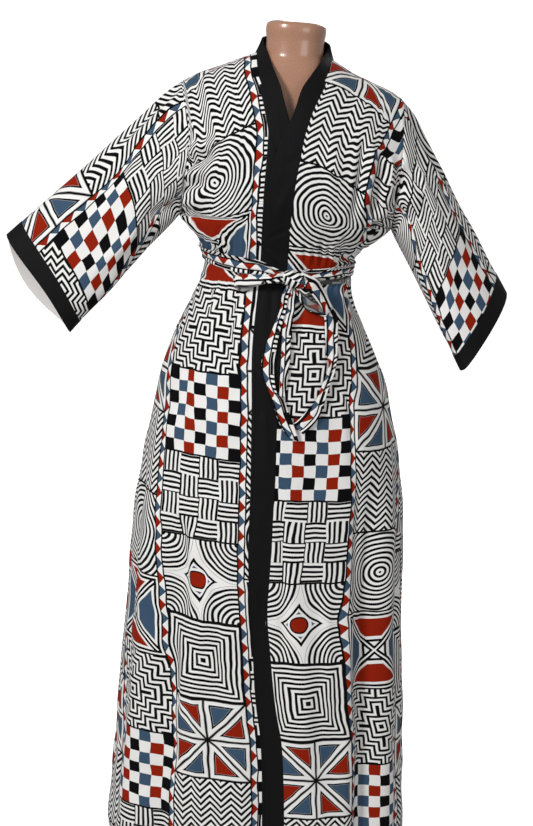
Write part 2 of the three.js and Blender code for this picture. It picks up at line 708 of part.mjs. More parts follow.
// The bow: two loops that leave the knot and come back to it, and two hanging ends.
const LOOP_RIGHT = [
  { at: [-5, -132, 1165], across: [0, 0, 1], width: 14 },
  { at: [-22, -131, 1160], across: [0, 0, 1], width: 18 },
  { at: [-50, -125, 1156], across: [0, 0, 1], width: 22 },
  { at: [-74, -117, 1152], across: [0, 0, 1], width: 22 },
  { at: [-83, -112, 1149], across: [0, 0, 1], width: 22 },
  { at: [-79, -107.5, 1148], across: [0, 0, 1], width: 22 },
  { at: [-60, -113.5, 1148], across: [0, 0, 1], width: 22 },
  { at: [-30, -120, 1152], across: [0, 0, 1], width: 18 },
  { at: [-6, -124, 1158], across: [0, 0, 1], width: 14 },
];
const LOOP_LEFT = [
  { at: [29, -132, 1166], across: [0, 0, 1], width: 14 },
  { at: [44, -133, 1158], across: [0.5, 0, 1], width: 20 },
  { at: [62, -130, 1144], across: [0.7, 0, 1], width: 26 },
  { at: [80, -122, 1126], across: [0.9, 0, 1], width: 26 },
  { at: [89, -116, 1117], across: [0.9, 0, 1], width: 24 },
  { at: [85, -112, 1120], across: [0.9, 0, 1], width: 24 },
  { at: [62, -119, 1136], across: [0.7, 0, 1], width: 24 },
  { at: [44, -121, 1150], across: [0.5, 0, 1], width: 18 },
  { at: [30, -124, 1160], across: [0, 0, 1], width: 12 },
];
const TAIL_RIGHT = [
  { at: [16, -124, 1150], across: [1, 0, 0.3], width: 15 },
  { at: [10, -128, 1125], across: [1, 0, 0.3], width: 20 },
  { at: [-2, -136, 1085], across: [1, 0, 0.25], width: 24 },
  { at: [-14, -145, 1040], across: [1, 0, 0.15], width: 26 },
  { at: [-16, -150, 1008], across: [1, 0, -0.1], width: 24 },
  { at: [-6, -154, 975], across: [1, 0, -0.3], width: 18 },
  { at: [8, -157, 945], across: [1, 0, -0.4], width: 20 },
  { at: [24, -160, 915], across: [1, 0, -0.4], width: 22 },
  { at: [42, -161, 886], across: [1, 0, -0.4], width: 14 },
];
const TAIL_LEFT = [
  { at: [32, -117, 1144], across: [0.4, 0.1, 1], width: 14 },
  { at: [56, -112, 1131], across: [0.6, 0.2, 1], width: 16 },
  { at: [80, -105.5, 1115], across: [0.9, 0.5, 0.8], width: 18 },
  { at: [93, -102.5, 1098], across: [1, 0.6, 0.2], width: 18 },
  { at: [97, -106.5, 1080], across: [1, 0.6, -0.2], width: 22 },
  { at: [98, -116.5, 1050], across: [1, 0.5, -0.2], width: 24 },
  { at: [96, -127.5, 1020], across: [1, 0.4, 0.1], width: 16 },
  { at: [90, -135.5, 998], across: [1, 0.35, 0.3], width: 14 },
  { at: [84, -142.5, 968], across: [1, 0.3, 0.4], width: 20 },
  { at: [78, -147, 945], across: [1, 0.25, 0.5], width: 22 },
  { at: [68, -151, 924], across: [1, 0.2, 0.5], width: 18 },
];
const KNOT = { at: [12, -132, 1167], half: [14, 14, 15] };

function makeKnot() {
  const geometry = new THREE.SphereGeometry(1, 14, 9);
  geometry.scale(...KNOT.half);
  return geometry;
}

// ---------- dress form and stand ----------
function makeForm() {
  const bend = (v) => Math.sign(v) * Math.abs(v) ** (2 / FORM_ROUND);
  return loft(FORM.map((row) => steps(FORM_SIDES, 0, 2 * Math.PI).slice(0, -1).map((turn) => {
    const depth = Math.cos(turn) > 0 ? row.front : row.back;
    return new THREE.Vector3(
      row.middle + row.half * bend(Math.sin(turn)),
      -depth * bend(Math.cos(turn)),
      row.z,
    );
  })));
}

const turned = (profile, sides) => {
  const geometry = new THREE.LatheGeometry(profile.map(([r, z]) => new THREE.Vector2(r, z)), sides);
  return geometry.rotateX(Math.PI / 2);
};
const makePole = () => turned([
  [0, BASE_TOP + SEAM],
  [POLE_RADIUS, BASE_TOP + SEAM],
  [POLE_RADIUS, FORM[0].z - SEAM],
  [0, FORM[0].z - SEAM],
], 24);
const makeBase = () => turned([
  [0, 0],
  [BASE_RADIUS, 0],
  [BASE_RADIUS, 6],
  [BASE_RADIUS - 8, 10],
  [40, BASE_TOP],
  [0, BASE_TOP],
], 48);

// ---------- assembly ----------
const object = new THREE.Group();
function add(name, geometry, look) {
  const mesh = new THREE.Mesh(geometry, new THREE.MeshStandardMaterial(COLOURS[look]));
  mesh.name = name;
  object.add(mesh);
  return mesh;
}

const back = makeBack();
const fronts = { right: makeFront('right'), left: makeFront('left') };
const bands = {
  right: makeBand('right', fronts.right, back),
  left: makeBand('left', fronts.left, back),
};
const arms = {
  right: makeSleeve('right', fronts.right, back, CUFF_RIGHT),
  left: makeSleeve('left', fronts.left, back, CUFF_LEFT),
};
for (const side of ['right', 'left']) {
  add(`back_${side}`, halfBack(side), 'print');
  add(`front_${side}`, wall(fronts[side].grid, fronts[side].thick), 'print');
  add(`sleeve_${side}`, wall(arms[side].tube.grid, arms[side].tube.thick, true), 'print');
  add(`cuff_${side}`, wall(arms[side].cuffPiece.grid, arms[side].cuffPiece.thick, true), 'black');
  add(`neck_band_${side}`, wall(bands[side].grid, bands[side].thick), 'black');
}
add('belt_wrap', makeBeltWrap(), 'print');
add('belt_knot', makeKnot(), 'print').position.set(...KNOT.at);
add('belt_loop_right', strip(LOOP_RIGHT), 'print');
add('belt_loop_left', strip(LOOP_LEFT), 'print');
add('belt_tail_right', strip(TAIL_RIGHT), 'print');
add('belt_tail_left', strip(TAIL_LEFT), 'print');
add('form_body', makeForm(), 'skin');
add('form_pole', makePole(), 'metal');
add('form_base', makeBase(), 'metal');

export default object;
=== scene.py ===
# %% [markdown]
# # A printed robe on a dress form
#
# This lesson builds a long robe of printed cotton with black bands and a tied belt. The robe
# hangs on a limbless dress form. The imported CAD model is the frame: it says where each piece is
# and how large it is. Here each piece becomes a fine surface of real cloth, worked out with numpy.
# Sizes in the tables are millimetres, because cloth is cut in millimetres. They become metres
# when a mesh is made.

# %% Load the frame
import math

import bmesh
import bpy
import numpy as np
from mathutils import Matrix, Vector


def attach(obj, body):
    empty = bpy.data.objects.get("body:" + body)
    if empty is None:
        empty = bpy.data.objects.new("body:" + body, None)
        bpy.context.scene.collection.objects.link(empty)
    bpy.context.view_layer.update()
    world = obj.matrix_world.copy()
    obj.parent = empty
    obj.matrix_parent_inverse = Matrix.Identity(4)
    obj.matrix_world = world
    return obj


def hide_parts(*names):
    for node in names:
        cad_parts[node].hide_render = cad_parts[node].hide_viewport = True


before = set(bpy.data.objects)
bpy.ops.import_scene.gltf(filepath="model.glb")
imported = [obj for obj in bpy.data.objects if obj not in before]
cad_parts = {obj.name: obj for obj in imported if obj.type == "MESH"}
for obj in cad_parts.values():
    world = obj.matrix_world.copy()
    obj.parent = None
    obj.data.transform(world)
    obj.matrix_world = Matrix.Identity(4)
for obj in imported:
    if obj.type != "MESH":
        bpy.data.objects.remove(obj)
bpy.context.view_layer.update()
MM = 0.001

# %% [markdown]
# ## Numbers from short tables
#
# A garment is described by a few rows: how wide and deep it is at some heights, where the
# shoulder seam runs, how a band goes down the front. A smooth curve through the rows gives the
# rest. The curve is monotone between rows, so it never swings past them.

# %% Tables and curves


def table(columns, *rows):
    """Gives a dictionary of arrays, one for each named column."""
    return dict(zip(columns.split(), np.array(rows, float).T))


def curve(rows, key, name):
    """Gives a column as a smooth function of another. Between two rows it is a cubic whose slopes
    are the harmonic mean of the chords beside them, or nought where the chords turn round."""
    at, value = rows[key], rows[name]
    chord = np.diff(value) / np.diff(at)
    product = chord[:-1] * chord[1:]
    total = np.where(product > 0, chord[:-1] + chord[1:], 1)
    slope = np.concatenate([chord[:1], np.where(product > 0, 2 * product / total, 0), chord[-1:]])

    def value_at(where):
        w = np.clip(where, at[0], at[-1])
        i = np.clip(np.searchsorted(at, w) - 1, 0, len(at) - 2)
        span = at[i + 1] - at[i]
        t = (w - at[i]) / span
        lean = slope[i] * t * (1 - t) ** 2 - slope[i + 1] * t**2 * (1 - t)
        return value[i] + smooth(t) * (value[i + 1] - value[i]) + span * lean

    return value_at


def smooth(t):
    """Rises from 0 to 1 with level ends: 3t squared minus 2t cubed, held outside 0 to 1."""
    u = np.clip(t, 0, 1)
    return u * u * (3 - 2 * u)


def mix(a, b, t):
    """Goes from a to b as t goes from 0 to 1."""
    return a + (b - a) * t


def bell(distance, width):
    """A soft bump: e to the power of minus (distance over width) squared."""
    return np.exp(-((distance / width) ** 2))


def edged(count, fine):
    """Even steps from 0 to 1, with one more step close to each end, so that shading turns only
    in the last fraction fine of a sheet."""
    return np.concatenate([[0, fine], np.linspace(0, 1, count + 1)[1:-1], [1 - fine, 1]])


# %% [markdown]
# The tables below hold the robe's outline and sections, its seams and bands, and its large folds.
# They could be read off the frame's meshes, but a frame is made of flat facets. The same rows that
# shaped the frame give the cloth its true curve.

# %% Sizes of the robe
UNDERARM = 1258
CHEST = 1330
HEM = 60
ROUND = 2.2
OVERLAP = 2.8
OVERLAP_FROM = 6
OVERLAP_REACH = 60
OVERLAP_TOP = 1530
OVERLAP_FADE = 70
CAD_WALL = 1.6
CLOTH = 0.9
BELT = 28

BODY = table(
    "z middle half front back",
    (60, 22, 286, 188, 176), (200, 19, 278, 184, 171), (360, 14, 268, 178, 165),
    (540, 9, 257, 171, 159), (690, 5, 250, 165, 153), (830, 3, 234, 157, 147),
    (930, -2, 215, 150, 141), (985, -6, 201, 145, 135), (1030, -9, 184, 138, 127),
    (1076, -12, 164, 129, 117), (1110, -13, 148, 121, 108), (1150, -11, 135, 112, 98),
    (1180, -10, 132, 108, 94), (1205, -10, 141, 110, 95), (1230, -8, 160, 116, 98),
    (1258, -3, 190, 123, 102), (1300, -1, 213, 131, 107), (1350, 0, 222, 134, 110),
    (1430, 0, 226, 129, 111), (1580, 0, 228, 120, 108),
)
SHOULDER = table(
    "x z",
    (-240, 1470), (-202, 1489), (-171, 1506), (-133, 1521), (-102, 1535), (-76, 1546),
    (0, 1576), (64, 1541), (93, 1525), (131, 1510), (168, 1495), (190, 1483), (240, 1462),
)
ARMHOLE = table(
    "z right left",
    (1250, 184, 183), (1258, 187, 187), (1290, 187, 187), (1338, 182, 190),
    (1391, 179, 193), (1425, 184, 193), (1461, 194, 192), (1489, 202, 190),
)
BAND_RIGHT = table(
    "z seam edge rise",
    (60, 38, 74, 0), (185, 31, 67, 0), (322, 19, 54, 0), (400, 4, 39, 0), (480, -6, 30, 0),
    (594, -20, 17, 0), (672, -27, 11, 0), (761, -30, 10, 0), (946, -39, 4, 0),
    (1045, -45, 0, 0), (1125, -43, 1, 0), (1186, -41, 4, 0), (1308, -43, 4, 0),
    (1377, -42, 4, 0), (1411, -42, -1, 2), (1440, -48, -10, 5), (1465, -55, -19, 6),
    (1490, -63, -28, 7), (1511, -70, -40, 10), (1525, -74, -51, 16), (1546, -77, -65, 28),
)
BAND_LEFT = table(
    "z seam edge rise",
    (60, 80, 44, 0), (185, 72, 37, 0), (322, 58, 25, 0), (400, 41, 10, 0), (480, 28, -2, 0),
    (594, 14, -15, 0), (672, 14, -21, 0), (761, 13, -24, 0), (946, 8, -31, 0),
    (1045, 6, -37, 0), (1125, 4, -38, 0), (1186, 6, -38, 0), (1308, 9, -36, 0),
    (1377, 16, -27, 2), (1416, 21, -14, 5), (1432, 25, -6, 6), (1448, 29, 0, 8),
    (1480, 41, 9, 10), (1497, 49, 19, 12), (1515, 56, 34, 15), (1541, 64, 54, 26),
)
NAPE = {"y": 57, "z": 1582}
NECKLINE_DROP = 38
FOLDS = table(
    "top hem start end width out",
    (-20, -24, 1120, 720, 5, 5), (-38, -39, 790, -300, 6, -15), (-55, -58, 900, -300, 8, 10),
    (-78, -76, 960, -300, 7, -10), (8, 22, 740, -300, 6, 9), (-4, 4, 700, -300, 5, -9),
    (33, 34, 700, -300, 6, 7), (48, 44, 860, -300, 5.5, -19), (60, 58, 860, -300, 7, 10),
    (80, 77, 980, -300, 7, -11), (104, 102, 1000, -300, 8, 11), (122, 121, 980, -300, 7, -15),
    (141, 142, 900, -300, 8, 12), (160, 161, 1000, -300, 7, -16), (181, 180, 860, -300, 8, 12),
    (201, 200, 960, -300, 7, -14), (222, 220, 1000, -300, 8, 12), (241, 241, 900, -300, 7, -15),
    (259, 260, 980, -300, 7, 9),
)
FOLD_FADE = 260

middle = curve(BODY, "z", "middle")
half = curve(BODY, "z", "half")
depth_of = {"front": curve(BODY, "z", "front"), "back": curve(BODY, "z", "back")}
shoulder = curve(SHOULDER, "x", "z")
armhole = {"right": curve(ARMHOLE, "z", "right"), "left": curve(ARMHOLE, "z", "left")}
bands = {"right": BAND_RIGHT, "left": BAND_LEFT}
seam_x = {side: curve(rows, "z", "seam") for side, rows in bands.items()}
print("Waist:", round(2 * float(half(1180))), "mm wide; hem:", round(2 * float(half(HEM))), "mm")

# %% [markdown]
# ## The camera
#
# The camera stands a little above the chest, looks slightly down and is rolled by four degrees.
# It could be turned with three angles. Three directions at right angles are easier to check: to
# the right, up, and back towards the viewer.

# %% Camera
CAMERA_AT = np.array([-0.012, -2.80, 1.52])
LOOKS_AT = np.array([-0.012, 0.0, 0.90])
ROLL = math.radians(4.0)
PIXELS_PER_METRE = 540.0
IMAGE_HEIGHT = 826
SENSOR = 36.0


def make_camera():
    """The lens gives the wanted number of pixels per metre at the point that the camera looks at:
    focal length over sensor equals pixels per metre times distance over the image's height."""
    away = LOOKS_AT - CAMERA_AT
    distance = np.linalg.norm(away)
    away = away / distance
    right = np.cross(away, [0, 0, 1])
    right = right / np.linalg.norm(right)
    up = np.cross(right, away)
    turned_right = right * math.cos(ROLL) + up * math.sin(ROLL)
    turned_up = up * math.cos(ROLL) - right * math.sin(ROLL)
    data = bpy.data.cameras.new("camera")
    data.sensor_width = SENSOR
    data.lens = PIXELS_PER_METRE * distance * SENSOR / IMAGE_HEIGHT
    data.clip_end = 60
    camera = bpy.data.objects.new("camera", data)
    turn = Matrix(np.array([turned_right, turned_up, -away]).T.tolist()).to_4x4()
    camera.matrix_world = Matrix.Translation(CAMERA_AT.tolist()) @ turn
    bpy.context.collection.objects.link(camera)
    bpy.context.scene.camera = camera
    return camera


camera = make_camera()
print("Lens:", round(camera.data.lens, 1), "mm")

# %% [markdown]
# ## The printed design
#
# The cloth is white cotton printed in black, brick red and slate blue. Its design is a patchwork
# of square tiles in columns, each with its own motif, and a narrow strip of saw teeth between the
# columns. It could be painted as an image, but then it would blur close up. Here every motif is a
# formula of two numbers, the place on the flat cloth across and along its length, so its edges
# stay sharp. A small class lets shader nodes be written as sums.

# %% Sums of shader nodes


class Wire:
    """A number in a node tree. Adding or comparing it places a Math node."""

    def __init__(self, tree, socket):
        self.tree = tree
        self.socket = socket

    def math(self, operation, *values):
        """A Math node of that operation, with these values in its sockets."""
        node = self.tree.nodes.new("ShaderNodeMath")
        node.operation = operation
        count = len(self.tree.nodes)
        node.location = (180 * (count % 24), -170 * (count // 24))
        for socket, value in zip(node.inputs, values):
            if isinstance(value, Wire):
                self.tree.links.new(value.socket, socket)
            else:
                socket.default_value = value
        return Wire(self.tree, node.outputs[0])

    def __add__(self, other):
        return self.math("ADD", self, other)

    def __sub__(self, other):
        return self.math("SUBTRACT", self, other)

    def __rsub__(self, other):
        return self.math("SUBTRACT", other, self)

    def __mul__(self, other):
        return self.math("MULTIPLY", self, other)

    def __truediv__(self, other):
        return self.math("DIVIDE", self, other)

    def __gt__(self, other):
        return self.math("GREATER_THAN", self, other)

    def __lt__(self, other):
        return self.math("LESS_THAN", self, other)

    def abs(self):
        return self.math("ABSOLUTE", self)

    def floor(self):
        return self.math("FLOOR", self)

    def modulo(self, other):
        return self.math("FLOORED_MODULO", self, other)

    def wave(self, height):
        """Rises from 0 to height and falls back, again and again."""
        return self.math("PINGPONG", self, height)

    def least(self, other):
        return self.math("MINIMUM", self, other)

    def most(self, other):
        return self.math("MAXIMUM", self, other)

    def length(self, other):
        """The length of the arrow whose two parts are this number and the other."""
        return (self * self + other * other).math("SQRT", self * self + other * other)

    def equals(self, other):
        return self.math("COMPARE", self, other, 0.5)

    def edge(self, at, sharpness=45.0):
        """0 below at and 1 above it, with a narrow ramp so that the edge isn't jagged."""
        node = (self - at) * sharpness + 0.5
        node.socket.node.use_clamp = True
        return node


def new_group(name, inputs, outputs):
    """An empty node group with named sockets, and its two end nodes."""
    group = bpy.data.node_groups.new(name, "ShaderNodeTree")
    for socket_name, kind in inputs:
        group.interface.new_socket(socket_name, in_out="INPUT", socket_type=kind)
    for socket_name, kind in outputs:
        group.interface.new_socket(socket_name, in_out="OUTPUT", socket_type=kind)
    enter = group.nodes.new("NodeGroupInput")
    leave = group.nodes.new("NodeGroupOutput")
    enter.location = (-400, 0)
    leave.location = (4600, 0)
    return group, enter, leave


# %% [markdown]
# Nine motifs are drawn on a tile: rings, zigzags, sails, nested squares, corner arcs, a weave of
# bars, checks, steps and an hourglass. A tile's number comes from its row and column, so one
# group of nodes serves every panel, and no two neighbours are alike.

# %% The motifs
COLUMN = 0.162
TILE = 0.150
BRICK_STEP = 0.063
TOOTH = 0.026
LINE_PITCH = 0.118
LINE_SHARE = 0.5
OUTLINE = 0.036
STEP = 0.25


def stripes(distance):
    """Black lines at an even pitch: a wave over the pitch, black in its upper part."""
    return (distance / LINE_PITCH).wave(0.5).edge(0.5 - LINE_SHARE / 2, 14.0)


def between(value, low, high):
    """1 where the value lies between two bounds."""
    return (value > low) * (value < high)


def make_motifs():
    """Each motif gives up to three inks: black, red and blue. x and y run from -1 to 1 over a
    tile, ax and ay are the same without their signs."""
    group, enter, leave = new_group(
        "printed_motifs",
        [("Across", "NodeSocketFloat"), ("Along", "NodeSocketFloat")],
        [("Black", "NodeSocketFloat"), ("Red", "NodeSocketFloat"), ("Blue", "NodeSocketFloat")],
    )
    across = Wire(group, enter.outputs["Across"])
    along = Wire(group, enter.outputs["Along"])
    column = (across / COLUMN).floor()
    in_column = across - column * COLUMN
    x = in_column / (TILE / 2) - 1.0
    shifted = (along + column * BRICK_STEP) / TILE
    row = shifted.floor()
    y = (shifted - row) * 2.0 - 1.0
    number = (row + column * 4.0).modulo(9.0)
    ax, ay = x.abs(), y.abs()
    square = ax.most(ay)
    diagonal = (ax - ay).abs() * 0.71
    radius = x.length(y)
    black, red, blue = [], [], []

    def use(index, lines, reds=None, blues=None):
        chosen = number.equals(float(index))
        black.append(lines * chosen)
        if reds:
            red.append(reds * chosen)
            blue.append(blues * chosen)

    use(0, stripes(radius + 0.06))
    use(1, stripes((y + x.wave(0.25)) * 0.72))
    rim = ax.least(ay).least(diagonal).least(1.0 - square)
    sails = rim.edge(0.115 + OUTLINE)
    turning = (x * y * (ax - ay)) > 0.0
    frames = (1.0 - rim.edge(OUTLINE * 0.8)) + between(rim, 0.115, 0.115 + OUTLINE)
    use(2, frames, sails * turning, sails * (1.0 - turning))
    use(3, stripes(square + 0.03))
    corner = (1.0 - ax).length(1.0 - ay)
    arcs = stripes(corner) * (corner < 0.98) + between(corner, 1.1, 1.1 + 1.5 * OUTLINE)
    arcs = arcs.most(between(radius, 0.17, 0.17 + OUTLINE))
    use(4, arcs, radius < 0.17, corner.edge(1.2) * (radius > 0.27))
    parity = ((x * 2.0).floor() + (y * 2.0).floor()).modulo(2.0)
    use(5, stripes(x * parity + y * (1.0 - parity) + 0.0625))
    checks = (((x + 1.0) * 3.5).floor() + ((y + 1.0) * 3.5).floor() * 3.0).modulo(6.0)
    use(6, checks.equals(0.0), checks.equals(2.0), checks.equals(4.0))
    stair = square
    for k in (-2, -1, 1, 2):
        stair = stair.least((ax - k * STEP).most(ay + k * STEP))
    use(7, stripes(stair + 0.03))
    wedge = diagonal.edge(0.13) * between(square, 0.36, 0.82)
    outline = between(square, 0.88, 0.88 + 1.6 * OUTLINE)
    outline = outline.most(between(diagonal, 0.02, 0.02 + 1.6 * OUTLINE) * (square < 0.93))
    outline = outline.most(between(square, 0.22, 0.22 + 1.6 * OUTLINE) * (diagonal > 0.05))
    upright = ay > ax
    use(8, outline, wedge * upright, wedge * (1.0 - upright))

    def total(values):
        result = values[0]
        for value in values[1:]:
            result = result + value
        return result

    in_strip = in_column > TILE
    tooth = along / TOOTH
    reach = 1.0 - (tooth.modulo(1.0) * 2.0 - 1.0).abs()
    teeth = ((in_column - TILE) / (COLUMN - TILE) < reach) * in_strip
    odd = tooth.floor().modulo(2.0)
    plain = 1.0 - in_strip
    gap = (in_column - TILE).abs().least(in_column.least(COLUMN - in_column))
    separator = ((ay > 0.978) * plain).most(gap < 0.0013)
    open_part = 1.0 - separator
    results = {
        "Black": (total(black) * plain).most(separator),
        "Red": (total(red) * plain + teeth * odd) * open_part,
        "Blue": (total(blue) * plain + teeth * (1.0 - odd)) * open_part,
    }
    for name, wire in results.items():
        group.links.new(wire.socket, leave.inputs[name])
    return group


motifs = make_motifs()
print("The print is worked out by", len(motifs.nodes), "nodes")

# %% [markdown]
# ## Cotton
#
# The cloth is a plain weave: threads pass over and under each other like a small chequer of
# bumps. Handled cotton also has a fine crumple. Both are heights, which a Bump node turns into
# shading. The weave's height also paints shade into the colour, a little darker in its dips. The
# two effects are groups, because the print, its wrong side and the black cotton all
# use them with their own values.

# %% Groups for weave and crumple


def make_weave():
    """Height of a plain weave: two waves at right angles, the first where their product is
    above nought and the second where it isn't. Its colour factor is slub noise plus painted shade,
    which makes the dips between threads up to five hundredths darker than their crowns."""
    group, enter, leave = new_group(
        "plain_weave",
        [("Flat", "NodeSocketVector"), ("Threads", "NodeSocketFloat")],
        [("Height", "NodeSocketFloat"), ("Tone_And_Shade", "NodeSocketFloat")],
    )
    split = group.nodes.new("ShaderNodeSeparateXYZ")
    group.links.new(enter.outputs["Flat"], split.inputs[0])
    count = Wire(group, enter.outputs["Threads"])
    u = Wire(group, split.outputs[0]) * count
    v = Wire(group, split.outputs[1]) * count
    warp = u.wave(1.0) * 2.0 - 1.0
    weft = v.wave(1.0) * 2.0 - 1.0
    over = (u.floor() + v.floor()).modulo(2.0)
    height = (1.0 - warp.abs()) * over + (1.0 - weft.abs()) * (1.0 - over)
    slub = group.nodes.new("ShaderNodeTexNoise")
    slub.inputs["Scale"].default_value = 900.0
    slub.inputs["Detail"].default_value = 1.0
    group.links.new(enter.outputs["Flat"], slub.inputs["Vector"])
    # Slub noise gives the thread's uneven colour; the height term is painted shade, darker in the
    # weave's dips.
    weave_tone_and_shade = Wire(group, slub.outputs[0]) * 0.10 + height * 0.05 + 0.92
    group.links.new(height.socket, leave.inputs["Height"])
    group.links.new(weave_tone_and_shade.socket, leave.inputs["Tone_And_Shade"])
    return group


def make_crumple():
    """Height of soft creases a few centimetres long: two layers of noise, one stretched."""
    group, enter, leave = new_group(
        "crumple",
        [("Flat", "NodeSocketVector"), ("Size", "NodeSocketFloat")],
        [("Height", "NodeSocketFloat")],
    )
    layers = []
    for stretch, scale in ((1.0, 1.0), (0.35, 2.6)):
        place = group.nodes.new("ShaderNodeMapping")
        place.inputs["Scale"].default_value = (1.0, stretch, 1.0)
        group.links.new(enter.outputs["Flat"], place.inputs["Vector"])
        noise = group.nodes.new("ShaderNodeTexNoise")
        noise.inputs["Detail"].default_value = 3.0
        noise.inputs["Roughness"].default_value = 0.45
        noise.inputs["Distortion"].default_value = 0.6
        size = Wire(group, enter.outputs["Size"]) * scale
        group.links.new(place.outputs[0], noise.inputs["Vector"])
        group.links.new(size.socket, noise.inputs["Scale"])
        layers.append(Wire(group, noise.outputs[0]))
    height = layers[0] * 0.7 + layers[1] * 0.3
    group.links.new(height.socket, leave.inputs["Height"])
    return group


weave = make_weave()
crumple = make_crumple()
print("Groups:", weave.name, "and", crumple.name)

# %% [markdown]
# The print shows pale and faint on the panels' wrong side, because the ink only half reaches it.
# The belt's wrong side shows the ink stronger on a darker grey, which is painted shade for its
# loops and turned-under folds. Each panel could share one material, but then the design would run
# straight over the seams. Each has its own offset instead, as if it were cut from another part
# of the cloth.

# %% Materials of cloth
WHITE = (0.80, 0.79, 0.77, 1.0)
BLACK_INK = (0.0022, 0.0020, 0.0026, 1.0)
RED_INK = (0.262, 0.013, 0.002, 1.0)
BLUE_INK = (0.043, 0.081, 0.136, 1.0)
PANEL_WRONG_SIDE = ((0.52, 0.51, 0.50, 1.0), 0.32)
# The belt's wrong side: a darker grey than the panels' wrong side, as painted shade for its loops and
# folds.
BELT_WRONG_SIDE_PAINTED_SHADE = ((0.29, 0.285, 0.28, 1.0), 0.8)
PALE_FACING = (0.72, 0.69, 0.67, 1.0)
BLACK_CLOTH = (0.0036, 0.0036, 0.0043, 1.0)
CLOTH_GLOSS = 0.08
BLACK_GLOSS = 0.12
HAND_SIZE = 26.0
HAND_SHAKE = 0.006
PRINT_RELIEF = {"threads": 1400.0, "crumple_size": 16.0, "depth": 0.0022}
BLACK_RELIEF = {"threads": 1200.0, "crumple_size": 17.0, "depth": 0.0040}
FLAT_MAP = "flat_cloth"


def place(material, kind, x, y):
    """A new node at a place in the material's editor."""
    node = material.node_tree.nodes.new(kind)
    node.location = (x, y)
    return node


def new_material(name, roughness, sheen=0.0, gloss=0.5):
    """A material with a Principled shader, and that shader. Dry cotton has hardly any gloss."""
    material = bpy.data.materials.new(name)
    material.use_nodes = True
    shader = material.node_tree.nodes["Principled BSDF"]
    shader.inputs["Roughness"].default_value = roughness
    shader.inputs["Sheen Weight"].default_value = sheen
    shader.inputs["Sheen Roughness"].default_value = 0.5
    shader.inputs["Specular IOR Level"].default_value = gloss
    return material, shader


def add_group(material, group, x, y, **values):
    """A group node with its own values."""
    node = place(material, "ShaderNodeGroup", x, y)
    node.node_tree = group
    for name, value in values.items():
        node.inputs[name].default_value = value
    return node


def cloth_relief(material, shader, flat, threads, crumple_size, depth):
    """Puts the crumple and the weave under the shader's normal, and gives the weave's colour factor:
    slub noise with painted shade in the dips between threads.
    """
    links = material.node_tree.links
    woven = add_group(material, weave, -700, -300, Threads=threads)
    creased = add_group(material, crumple, -700, -500, Size=crumple_size)
    links.new(flat, woven.inputs["Flat"])
    links.new(flat, creased.inputs["Flat"])
    soft = place(material, "ShaderNodeBump", -400, -450)
    soft.inputs["Strength"].default_value = 1.0
    soft.inputs["Distance"].default_value = depth
    fine = place(material, "ShaderNodeBump", -200, -350)
    fine.inputs["Strength"].default_value = 0.25
    fine.inputs["Distance"].default_value = 0.00012
    links.new(creased.outputs["Height"], soft.inputs["Height"])
    links.new(woven.outputs["Height"], fine.inputs["Height"])
    links.new(soft.outputs[0], fine.inputs["Normal"])
    links.new(fine.outputs[0], shader.inputs["Normal"])
    return woven.outputs["Tone_And_Shade"]


def tinted(material, colour, weave_tone_and_shade):
    """A colour socket times the weave's colour factor, which holds painted shade in its dips."""
    node = place(material, "ShaderNodeMix", -200, 100)
    node.data_type = "RGBA"
    node.blend_type = "MULTIPLY"
    node.inputs["Factor"].default_value = 1.0
    links = material.node_tree.links
    links.new(colour, node.inputs[6])
    links.new(weave_tone_and_shade, node.inputs[7])
    return node.outputs[2]


def printed_cotton(name, ground, strength, offset):
    """Cotton with the print on it. strength is how fully the inks show, and offset moves the
    design on the cloth. A slow noise shakes the lines a little, as if they were drawn by hand."""
    material, shader = new_material(name, 0.82, 0.01, CLOTH_GLOSS)
    links = material.node_tree.links
    chart = place(material, "ShaderNodeUVMap", -1900, 0)
    chart.uv_map = FLAT_MAP
    shift = place(material, "ShaderNodeMapping", -1700, 0)
    shift.inputs["Location"].default_value = (offset[0], offset[1], 0.0)
    links.new(chart.outputs[0], shift.inputs["Vector"])
    shake = place(material, "ShaderNodeTexNoise", -1700, -300)
    shake.inputs["Scale"].default_value = HAND_SIZE
    shake.inputs["Detail"].default_value = 1.0
    links.new(shift.outputs[0], shake.inputs["Vector"])
    hand = place(material, "ShaderNodeVectorMath", -1500, -200)
    hand.operation = "MULTIPLY_ADD"
    hand.inputs[1].default_value = (HAND_SHAKE, HAND_SHAKE, 0.0)
    links.new(shake.outputs["Color"], hand.inputs[0])
    links.new(shift.outputs[0], hand.inputs[2])
    split = place(material, "ShaderNodeSeparateXYZ", -1300, 0)
    links.new(hand.outputs[0], split.inputs[0])
    inks = add_group(material, motifs, -1100, 0)
    links.new(split.outputs[0], inks.inputs["Across"])
    links.new(split.outputs[1], inks.inputs["Along"])
    colour = ground
    for step, (ink, paint) in enumerate(
        (("Blue", BLUE_INK), ("Red", RED_INK), ("Black", BLACK_INK))
    ):
        layer = place(material, "ShaderNodeMix", -850 + 200 * step, 300)
        layer.data_type = "RGBA"
        if isinstance(colour, tuple):
            layer.inputs[6].default_value = colour
        else:
            links.new(colour, layer.inputs[6])
        layer.inputs[7].default_value = paint
        amount = place(material, "ShaderNodeMath", -850 + 200 * step, 100)
        amount.operation = "MULTIPLY"
        amount.inputs[1].default_value = strength
        links.new(inks.outputs[ink], amount.inputs[0])
        links.new(amount.outputs[0], layer.inputs["Factor"])
        colour = layer.outputs[2]
    weave_tone_and_shade = cloth_relief(material, shader, shift.outputs[0], **PRINT_RELIEF)
    links.new(tinted(material, colour, weave_tone_and_shade), shader.inputs["Base Color"])
    return material


